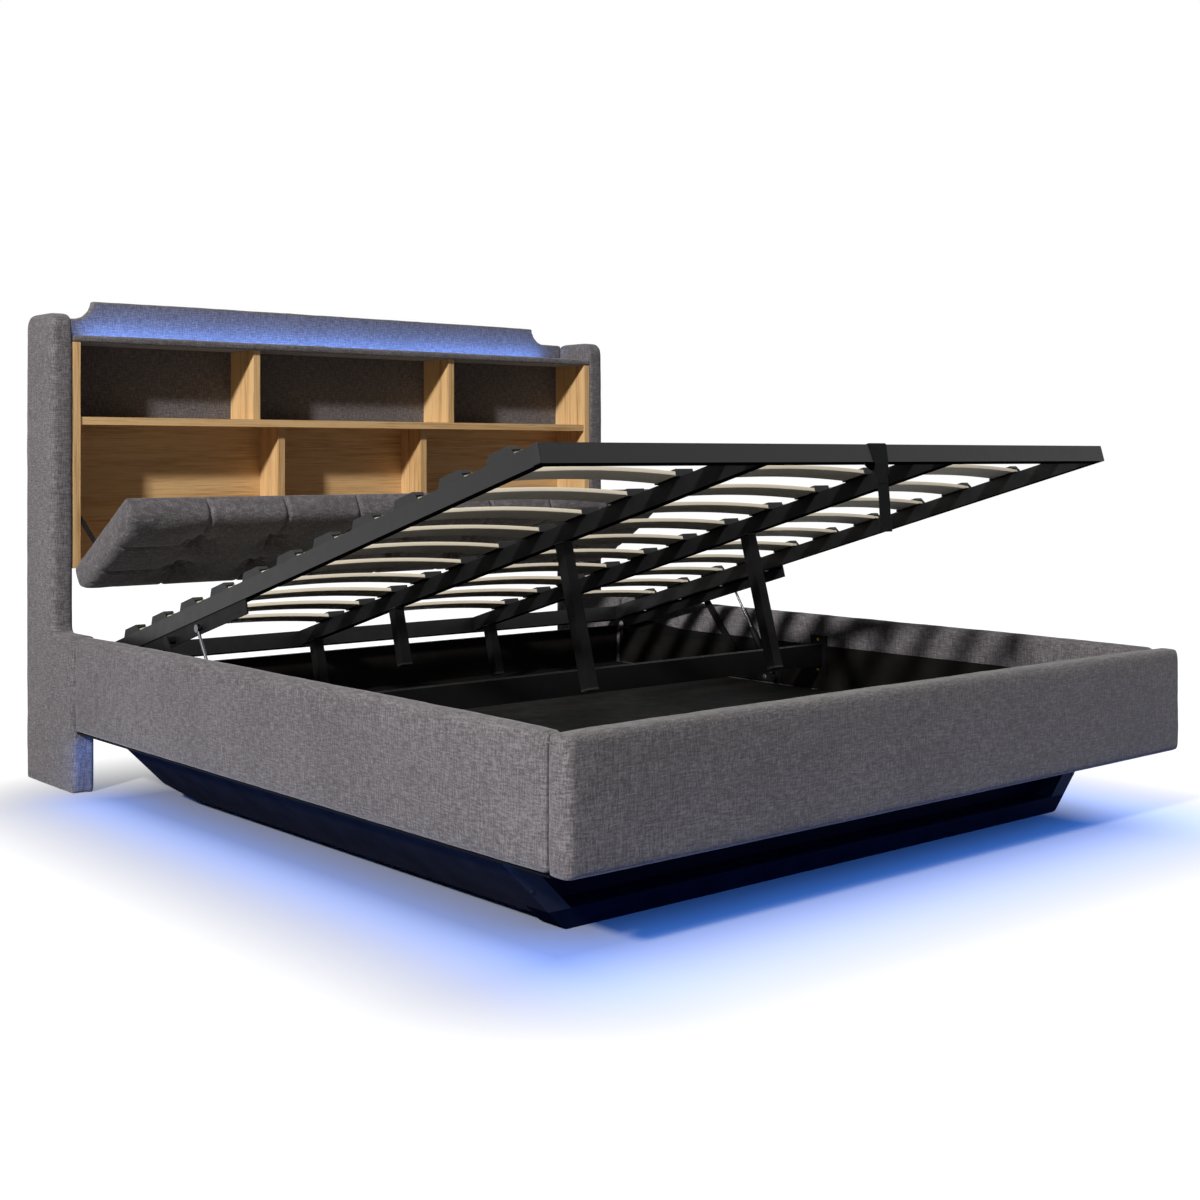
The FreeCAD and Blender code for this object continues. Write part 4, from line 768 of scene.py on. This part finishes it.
class BED_OT_flap_cushion(bpy.types.Operator):
    """Tufted cushion of the backrest flap, blown up by a cloth simulation, with its seams and buttons"""
    bl_idname = "bed.flap_cushion"
    bl_label = "Tufted flap cushion"

    def execute(self, context):
        cloth = settings_of(context)[0]
        # The flap's cover is a darker copy of the woven cover: painted shade
        material = kept(woven_cover, "polyester_melange_weave_on_flap", cloth, turn=-FLAP_ANGLE, nap=0.08)
        mesh = tufted_cushion(cloth)
        carrier = carried("cushion_surface", mesh)
        context.view_layer.update()
        paths = self.seams(carrier)
        places = [struck(carrier, (x, -0.3, z), (0, 1, 0)) for x in TUFT_COLUMNS for z in TUFT_ROWS]
        if None in places:
            raise RuntimeError("a tuft's place is off the cushion")
        bpy.data.objects.remove(carrier)
        mesh.transform(ON_FLAP)
        mesh.shade_smooth()
        made = piece_of("flap_cushion_cover", mesh, material, "flap", "grey_fabric",
                        "flap_cushion", "flap_board")
        beads("flap_cushion_seams", paths, cloth.seam_radius, 0.008, 0.2, material, "flap", "grey_fabric")
        radius, sunk = cloth.button_radius, Vector((0, 0.002, 0))
        dome = [(radius * 0.55, -0.002), (radius, 0.0), (radius * 0.96, 0.0022), (radius * 0.78, 0.0042),
                (radius * 0.45, 0.0056), (radius * 0.12, 0.006)]
        button = turned_profile("covered_button", dome, 16)
        button.shade_smooth()
        buttons = [ON_FLAP @ (place + sunk) for place in places]
        turn = (math.radians(90 + FLAP_ANGLE), 0, 0)
        fittings("flap_tuft_buttons", button, buttons, turn, material, "flap", "grey_fabric")
        return {"FINISHED"}

    def seams(self, surface):
        """Seams from the outer tufts over the border, and on round the cushion's edge."""
        gap, before, steps = 0.03, -0.3, 25
        round_edge = (-0.075, -0.060, -0.045, -0.030)
        runs = []
        for x in TUFT_COLUMNS:
            ends = ((TUFT_ROWS[1] + gap, FLAP_END, 0.6, -1), (TUFT_ROWS[0] - gap, FLAP_START, -0.2, 1))
            for start, end, above, way in ends:
                runs.append(([(x, before, z) for z in np.linspace(start, end, steps)],
                             [(x, y, above) for y in round_edge], (0, 0, way)))
        for z in TUFT_ROWS:
            for sign in (-1, 1):
                reach = sign * np.linspace(TUFT_COLUMNS[-1] + gap, FLAP_HALF, steps)
                runs.append(([(x, before, z) for x in reach],
                             [(sign * 1.2, y, z) for y in round_edge], (-sign, 0, 0)))
        paths = []
        for over_front, over_edge, way in runs:
            path = [struck(surface, start, (0, 1, 0)) for start in over_front]
            path += [struck(surface, start, way) for start in over_edge]
            paths.append([ON_FLAP @ point for point in path if point])
        return paths


# Hard parts

class BED_OT_bookcase(bpy.types.Operator):
    """Oak bookcase of the headboard: grain along the shelves, upright on the sides and dividers"""
    bl_idname = "bed.bookcase"
    bl_label = "Oak bookcase"

    def execute(self, context):
        timber = settings_of(context)[1]
        dress(OAK_FLAT, kept(oak_veneer, "oak_veneer_grain_across", timber, 0))
        dress(OAK_UPRIGHT, kept(oak_veneer, "oak_veneer_grain_upright", timber, 2))
        return {"FINISHED"}


class BED_OT_storage_box(bpy.types.Operator):
    """Black boards that line the storage box, and its plastic corner stops"""
    bl_idname = "bed.storage_box"
    bl_label = "Storage box"

    def execute(self, context):
        metal = settings_of(context)[2]
        # Melamine facing with a fine pearl texture, drawn 3 mm
        facing = (tuple(metal.board), 0.55, 0.003, 0.0002)
        dress(BOX_BOARDS, kept(grained_solid, "melamine_board_black", *facing, shine=0.05))
        dress(["corner_stops"], moulded(metal))
        dress(["crossbeam_screws"], plated("steel_zinc_yellow", "#c9a350", 0.32))
        return {"FINISHED"}


class BED_OT_base(bpy.types.Operator):
    """Recessed base in one black wrap, painted as a blue-shaded copy and a lighter lit copy, with the screws
    that hold its sled
    """
    bl_idname = "bed.base"
    bl_label = "Recessed base"

    def execute(self, context):
        metal = settings_of(context)[2]
        # PVC wraps, smooth with a slight telegraphed ripple of 4 mm. One black wrap is painted as two
        # copies: a blue-black shaded one with painted LED light on the bar and kick, and a lighter lit one
        # on the skirts and legs
        wrap = (tuple(metal.base), 0.38, 0.004, 0.0001)
        side = (tuple(metal.base_side_painted_lit), 0.45, 0.004, 0.0001)
        dress(BASE_BOARDS_PAINTED_BLUE_SHADE, kept(grained_solid, "pvc_wrapped_board_blue_black", *wrap, shine=0.01))
        dress(BASE_SIDES_PAINTED_LIT, kept(grained_solid, "pvc_wrapped_board_black", *side, shine=0.03))
        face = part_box("foot_sled_legs")[0].y
        places = [(sign * 0.905, face, rise) for sign in (-1, 1) for rise in (0.088, 0.128)]
        profile = [(0.0055, -0.001), (0.0055, 0.0008), (0.004, 0.0022), (0.0015, 0.0026)]
        head = turned_profile("sled_screw", profile, 12)
        black = plated("steel_black_oxide", "#202022", 0.45)
        fittings("sled_screws", head, places, (math.radians(90), 0, 0), black, "bed_frame", "black_steel")
        return {"FINISHED"}


class BED_OT_steelwork(bpy.types.Operator):
    """Powder-coated frame and lift linkage, with welds, tube plugs, leg pads, bolts and chromed rods"""
    bl_idname = "bed.steelwork"
    bl_label = "Steelwork and lift"

    def execute(self, context):
        metal = settings_of(context)[2]
        # Orange peel of a powder coat, 2 mm
        black, grain = tuple(metal.coat), (0.002, 0.00015)
        coat = kept(grained_solid, "steel_powder_coated_black", black, 0.42, *grain)
        plastic = moulded(metal)
        dress(FRAME_STEEL, coat)
        # The inner steel takes a copy of the same coat, rougher, with its gloss cut as painted shade for the
        # dark surroundings these parts sit in
        dress(FITTED_STEEL, kept(grained_solid, "steel_powder_coated_matt", black, 0.6, *grain, shine=0.1))
        rods = ["left_strut_rod", "right_strut_rod", "pivot_pins"]
        dress(rods, kept(ground_chrome, "steel_hard_chromed"))
        self.weld(coat)
        self.plug(plastic)
        self.bolt(metal.bolt_radius)
        return {"FINISHED"}

    def weld(self, coat):
        """Beads where side and middle rails meet the foot rail, and round the tops of the legs."""
        inset, mids = 0.001, (MID_PLACE - LEG_HALF, MID_PLACE + LEG_HALF)
        paths = []
        for x in sorted(sign * place for sign in (-1, 1) for place in (*mids, FRAME_INSIDE)):
            ends = (FRAME_LOW + inset, FRAME_HIGH - inset)
            paths.append([ON_PLATFORM @ Vector((x, FRAME_FOOT, z)) for z in ends])
        square = [(-1, -1), (1, -1), (1, 1), (-1, 1), (-1, -1)]
        for sign in (-1, 1):
            for reach in (*LEG_REACHES, POST_REACH):
                ring = [(sign * (MID_PLACE + LEG_HALF * a), LEG_HALF * b - reach) for a, b in square]
                paths.append([ON_PLATFORM @ Vector((x, y, FRAME_LOW)) for x, y in ring])
        beads("platform_weld_beads", paths, 0.0028, 0.006, 0.45, coat, "platform", "black_steel")

    def plug(self, plastic):
        """Plugs in the rails' ends, and pads under the legs: size, edge, and places on the platform."""
        sides, rise = (-1, 1), 0.0435
        foot_ends = [(sign * 0.9405, -1.9595, rise) for sign in sides]
        head_ends = [(sign * 0.9275, 0.0315, rise) for sign in sides]
        feet = [(sign * MID_PLACE, -reach, -0.1327) for sign in sides for reach in LEG_REACHES]
        feet += [(sign * MID_PLACE, -POST_REACH, -0.3360) for sign in sides]
        kinds = {
            "foot_rail_plugs": ((0.005, 0.0245, 0.0405), 0.0012, foot_ends),
            "side_rail_plugs": ((0.0245, 0.005, 0.0405), 0.0012, head_ends),
            "leg_pads": ((0.0310, 0.0310, 0.006), 0.001, feet),
        }
        turn = (math.radians(LIFT_ANGLE), 0, 0)
        for name, (size, edge, places) in kinds.items():
            shape = joined(name, [bevelled_box(size, edge)])
            raised = [ON_PLATFORM @ Vector(place) for place in places]
            fittings(name, shape, raised, turn, plastic, "platform", "black_plastic")

    def bolt(self, radius):
        """Washered bolts on the lower brackets, and under the side rails where the upper brackets seat."""
        washer = radius * 1.25
        profile = [(washer, -0.0005), (washer, 0.0008), (radius, 0.0009), (radius, 0.0022),
                   (radius * 0.8, 0.0028)]
        head = turned_profile("bracket_bolt", profile, 12)
        zinc = plated("steel_zinc_plated", "#9a9ca0", 0.35)
        for side, sign in (("left", -1), ("right", 1)):
            places = [(sign * 0.963, y, 0.221) for y in (0.185, 0.300, 0.415)]
            turn = (0, math.radians(-90 * sign), 0)
            fittings(f"{side}_bracket_bolts", head, places, turn, zinc, "bed_frame", "black_steel")
        under = [ON_PLATFORM @ Vector((sign * 0.9235, -reach, 0.019))
                 for sign in (-1, 1) for reach in (0.14, 0.32, 0.52, 0.73)]
        turn = (math.radians(180 + LIFT_ANGLE), 0, 0)
        fittings("bracket_seat_bolts", head, under, turn, zinc, "platform", "black_steel")


class BED_OT_slats(bpy.types.Operator):
    """Three columns of sprung birch slats"""
    bl_idname = "bed.slats"
    bl_label = "Sprung slats"

    def execute(self, context):
        timber = settings_of(context)[1]
        material = kept(birch_slat, "birch_plywood_lacquered", timber)
        tree = tree_of(slat_tree, "sprung_slat_column")
        for seed, (side, (start, end)) in enumerate(SLAT_COLUMNS.items(), start=3):
            values = {
                "Count": timber.slat_count, "First": 0.157, "Pitch": 0.1687, "From": start, "To": end,
                "Width": timber.slat_width, "Thickness": timber.slat_thick, "Bow": timber.slat_bow,
                "Edge": 0.0014, "Seat": 0.0693, "Pivot": tuple(LIFT_PIVOT),
                "Turn": (math.radians(LIFT_ANGLE), 0, 0), "Seed": seed, "Finish": material,
            }
            mesh = grown(f"sprung_slats_{side}", tree, values)
            piece_of(f"sprung_slats_{side}", mesh, material, "platform", "slat_wood", f"slats_{side}")
        return {"FINISHED"}


class BED_OT_slat_caps(bpy.types.Operator):
    """Moulded caps that hold the slats on the rails"""
    bl_idname = "bed.slat_caps"
    bl_label = "Slat caps"

    def execute(self, context):
        plastic = moulded(settings_of(context)[2])
        flat = {"decimate_type": "DISSOLVE", "angle_limit": math.radians(1)}
        eased = {"width": 0.0009, "segments": 2, "limit_method": "ANGLE", "angle_limit": math.radians(40)}
        mesh = evaluated(node_mesh("slat_caps"), "slat_end_caps", ("DECIMATE", flat), ("BEVEL", eased))
        piece_of("slat_end_caps", mesh, plastic, "platform", "black_plastic", "slat_caps")
        return {"FINISHED"}


class BED_OT_pull_strap(bpy.types.Operator):
    """Webbing strap looped round the foot rail, with a hanging tail"""
    bl_idname = "bed.pull_strap"
    bl_label = "Pull strap"

    def ribbon(self, path, middle, widths, thick, closed=False):
        """A flat band with eased edges along points of the bed's middle plane, as a mesh in the making."""
        section = [(-0.5, -0.25), (-0.47, -0.5), (0.47, -0.5), (0.5, -0.25),
                   (0.5, 0.25), (0.47, 0.5), (-0.47, 0.5), (-0.5, 0.25)]
        count, size = len(path), len(section)
        made = bmesh.new()
        rows = []
        for index, point in enumerate(path):
            before = path[index - 1] if index or closed else point
            after = path[(index + 1) % count] if index < count - 1 or closed else point
            run = (after - before).normalized()
            out = Vector((0, -run.z, run.y))
            for across, up in section:
                side = middle(index / count) + across * widths[index]
                rows.append(made.verts.new(Vector((side, 0, 0)) + point + out * up * thick))
        faces = []
        for index in range(count if closed else count - 1):
            low, high = index * size, (index + 1) % count * size
            faces += [(low + i, low + (i + 1) % size, high + (i + 1) % size, high + i) for i in range(size)]
        if not closed:
            faces += [tuple(reversed(range(size))), tuple(range((count - 1) * size, count * size))]
        for face in faces:
            made.faces.new([rows[i] for i in face])
        return made

    def loop(self, wide, tip):
        """The loop hangs loose: it is spread over the top of the rail and gathered to a tip below it."""
        front, back, low, high = -1.9736, -1.9454, 0.0214, 0.0656
        turns = [(front, low, 0.046), (front, high, wide), (back, high, wide), (back, low, 0.050), tip]
        path, widths = [], []
        for number, turn in enumerate(turns):
            onward = turns[(number + 1) % len(turns)]
            for step in range(8):
                share = 0.06 + 0.88 * step / 7
                y, z, width = [a + (b - a) * share for a, b in zip(turn, onward)]
                path.append(ON_PLATFORM @ Vector((0, y, z)))
                widths.append(width)
        return path, widths

    def execute(self, context):
        metal = settings_of(context)[2]
        material = kept(ribbed_webbing, "polypropylene_webbing", tuple(metal.webbing))
        thick, wide, narrow, middle = 0.0025, 0.060, 0.038, 0.040
        tip = (-1.9690, -0.0080, narrow)
        loop, spread = self.loop(wide, tip)
        top = ON_PLATFORM @ Vector((0, tip[0] - 0.003, tip[1] + 0.020))
        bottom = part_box("pull_strap")[0].z
        tail = []
        for step in range(25):
            share = step / 24
            sway = 0.003 * math.sin(share * math.pi * 1.6)
            tail.append(Vector((0, top.y - 0.0015 - sway, top.z + (bottom - top.z) * share)))
        hem = [point + Vector((0, thick * 1.02, 0)) for point in tail[-4:]]
        fold = [point + Vector((0, -thick * 0.8, 0)) for point in tail[:7]]
        # The tail and its hem lean to the right as they hang
        bands = [(tail, lambda share: middle - 0.010 + 0.030 * share, narrow, thick),
                 (hem, lambda share: middle + 0.016 + 0.004 * share, narrow * 0.98, thick),
                 (fold, lambda share: middle - 0.006, narrow * 0.9, thick * 0.6)]
        parts = [self.ribbon(loop, lambda share: middle, spread, thick, closed=True)]
        parts += [self.ribbon(path, lean, [width] * len(path), deep) for path, lean, width, deep in bands]
        mesh = joined("webbing_pull_strap", parts)
        piece_of("webbing_pull_strap", mesh, material, "platform", "black_webbing", "pull_strap")
        return {"FINISHED"}


class BED_OT_led_strips(bpy.types.Operator):
    """Blue LED tape behind the ledge and under the rails"""
    bl_idname = "bed.led_strips"
    bl_label = "LED strips"

    def execute(self, context):
        light = settings_of(context)[3]
        up, down = (0, 0, 1), (0, 0, -1)
        ledge = kept(led_tape, "led_tape_on_ledge", tuple(light.ledge_led), [0], 2.0, "#a9c4ff", up)
        rails = kept(led_tape, "led_tape_under_rails", tuple(light.led), [0, 1], 1.0, "#08090d", down)
        dress(["headboard_led_strip"], ledge)
        dress(["base_led_strips"], rails)
        return {"FINISHED"}


class BED_OT_stage(bpy.types.Operator):
    """Pale floor, studio lamps, the glow of the LED tape and the camera"""
    bl_idname = "bed.stage"
    bl_label = "Stage"

    def execute(self, context):
        light = settings_of(context)[3]
        self.camera(context)
        self.floor(context, light)
        self.world(context)
        blue, pale = tuple(light.led)[:3], tuple(light.ledge_led)[:3]
        # Place, aim, watts, size and colour of each lamp
        lamps = {
            "key_lamp": ((-10.4, -4.2, 6.5), (0.0, 0.0, 0.6), 2080, (0.8, 0.8), (1.0, 0.97, 0.94)),
            "top_lamp": ((-0.5, -0.5, 5.5), (0.0, 0.0, 0.3), 42, (4.0, 4.0), (1.0, 1.0, 1.0)),
            "front_lamp": ((1.5, -6.5, 2.2), (0.0, 0.0, 0.5), 5, (3.0, 3.0), (1.0, 0.99, 0.97)),
            "ledge_glow": ((0, 1.155, 1.272), (0, 1.200, 1.290), 2.8, (1.72, 0.008), pale),
            "rail_glow_0": ((-1.025, -0.27, 0.158), (-1.025, -0.27, 0.0), 6.7, (0.14, 2.26), blue),
            "rail_glow_2": ((1.025, -0.27, 0.158), (1.025, -0.27, 0.0), 6.7, (0.14, 2.26), blue),
            "foot_glow": ((0, -1.27, 0.13), (0, -1.27, 0.0), 6.5, (1.9, 0.36), blue),
        }
        for name, values in lamps.items():
            self.lamp(context, name, *values)
        return {"FINISHED"}

    def camera(self, context):
        data = bpy.data.cameras.new("photo_camera")
        data.sensor_width, data.lens, data.shift_y = 36.0, 49.855, -0.1202
        made = bpy.data.objects.new("photo_camera", data)
        made.location = (-2.8861, -3.4788, 0.9235)
        made.rotation_euler = (math.radians(90), 0, math.radians(-40.75))
        context.scene.collection.objects.link(made)
        context.scene.camera = made

    def seen(self, tree):
        """1 for what the camera sees itself or in gloss and glass, and 0 for light."""
        path = add(tree, "ShaderNodeLightPath", out=None).outputs
        through = {0: path["Is Glossy Ray"], 1: path["Is Transmission Ray"]}
        indirect = add(tree, "ShaderNodeMath", through, operation="MAXIMUM")
        return add(tree, "ShaderNodeMath", {0: path["Is Camera Ray"], 1: indirect}, operation="MAXIMUM")

    def floor(self, context, light):
        matt = {"Base Color": light.floor, "Roughness": 0.95, "Specular IOR Level": 0.0}
        material, node, surface = finish_named("studio_floor_matt", matt)
        place = node("ShaderNodeTexCoord", out="Object")
        # Painted shade round the bed: the floor's emission, seen by the camera and in gloss, is none within
        # a rectangle inside the rails and rises to white over 0.6 m outside it
        shift, half, fade = (0.1, 0.18, 0), (0.85, 0.93, 0), 0.60
        moved = node("ShaderNodeVectorMath", {0: place, 1: shift}, operation="ADD")
        near = node("ShaderNodeVectorMath", {0: moved}, operation="ABSOLUTE")
        past = node("ShaderNodeVectorMath", {0: near, 1: half}, operation="SUBTRACT")
        outside = node("ShaderNodeVectorMath", {0: past, 1: (0, 0, 0)}, operation="MAXIMUM")
        away = node("ShaderNodeVectorMath", {0: outside}, out="Value", operation="LENGTH")
        bright = node("ShaderNodeMapRange", {"Value": away, "From Min": 0.0, "From Max": fade})
        shown = node("ShaderNodeMath", {0: bright, 1: self.seen(material.node_tree)}, operation="MULTIPLY")
        surface({"Emission Color": (1, 1, 1, 1), "Emission Strength": shown})
        reach = 30.0
        corners = [(-reach, -reach, 0), (reach, -reach, 0), (reach, reach, 0), (-reach, reach, 0)]
        mesh = mesh_of("studio_floor", corners, [(0, 1, 2, 3)])
        mesh.materials.append(material)
        made = bpy.data.objects.new("studio_floor", mesh)
        context.scene.collection.objects.link(made)

    def world(self, context):
        world = bpy.data.worlds.new("studio_air")
        world.use_nodes = True
        tree = world.node_tree
        # White to the eye, and a weak light
        level = add(tree, "ShaderNodeMapRange", {"Value": self.seen(tree), "To Min": 0.02, "To Max": 1.0})
        feed(tree, tree.nodes["Background"], {"Color": (1, 1, 1, 1), "Strength": level})
        context.scene.world = world
        context.scene.view_settings.view_transform = "Standard"

    def lamp(self, context, name, place, aim, power, size, colour):
        data = bpy.data.lights.new(name, "AREA")
        data.shape, data.energy, data.color = "RECTANGLE", power, colour
        data.size, data.size_y = size
        made = bpy.data.objects.new(name, data)
        made.location = place
        made.rotation_euler = (Vector(aim) - Vector(place)).to_track_quat("-Z", "Y").to_euler()
        made.visible_camera = False
        context.scene.collection.objects.link(made)


OPERATORS = [
    BED_OT_covers, BED_OT_corner_folds, BED_OT_flap_cushion, BED_OT_bookcase, BED_OT_storage_box,
    BED_OT_base, BED_OT_steelwork, BED_OT_slats, BED_OT_slat_caps, BED_OT_pull_strap, BED_OT_led_strips,
    BED_OT_stage,
]


class BED_PT_sidebar(bpy.types.Panel):
    """Lists the bed's pieces and their settings"""
    bl_label = "Storage bed"
    bl_idname = "BED_PT_sidebar"
    bl_space_type = "VIEW_3D"
    bl_region_type = "UI"
    bl_category = "Bed"

    def draw(self, context):
        for group in settings_of(context):
            for name in group.__annotations__:
                self.layout.prop(group, name)
        for operator in OPERATORS:
            self.layout.operator(operator.bl_idname)


GROUPS = {"bed_upholstery": UpholsterySettings, "bed_timber": TimberSettings, "bed_metal": MetalSettings,
          "bed_light": LightSettings}


def register():
    for made in [*GROUPS.values(), *OPERATORS, BED_PT_sidebar]:
        bpy.utils.register_class(made)
    for name, group in GROUPS.items():
        setattr(bpy.types.Scene, name, PointerProperty(type=group))


def unregister():
    for name in GROUPS:
        delattr(bpy.types.Scene, name)
    for made in reversed([*GROUPS.values(), *OPERATORS, BED_PT_sidebar]):
        bpy.utils.unregister_class(made)


def main():
    register()
    for operator in OPERATORS:
        group, name = operator.bl_idname.split(".")
        if getattr(getattr(bpy.ops, group), name)() != {"FINISHED"}:
            raise RuntimeError(f"{operator.bl_label} was not made")


if __name__ == "__main__":
    main()
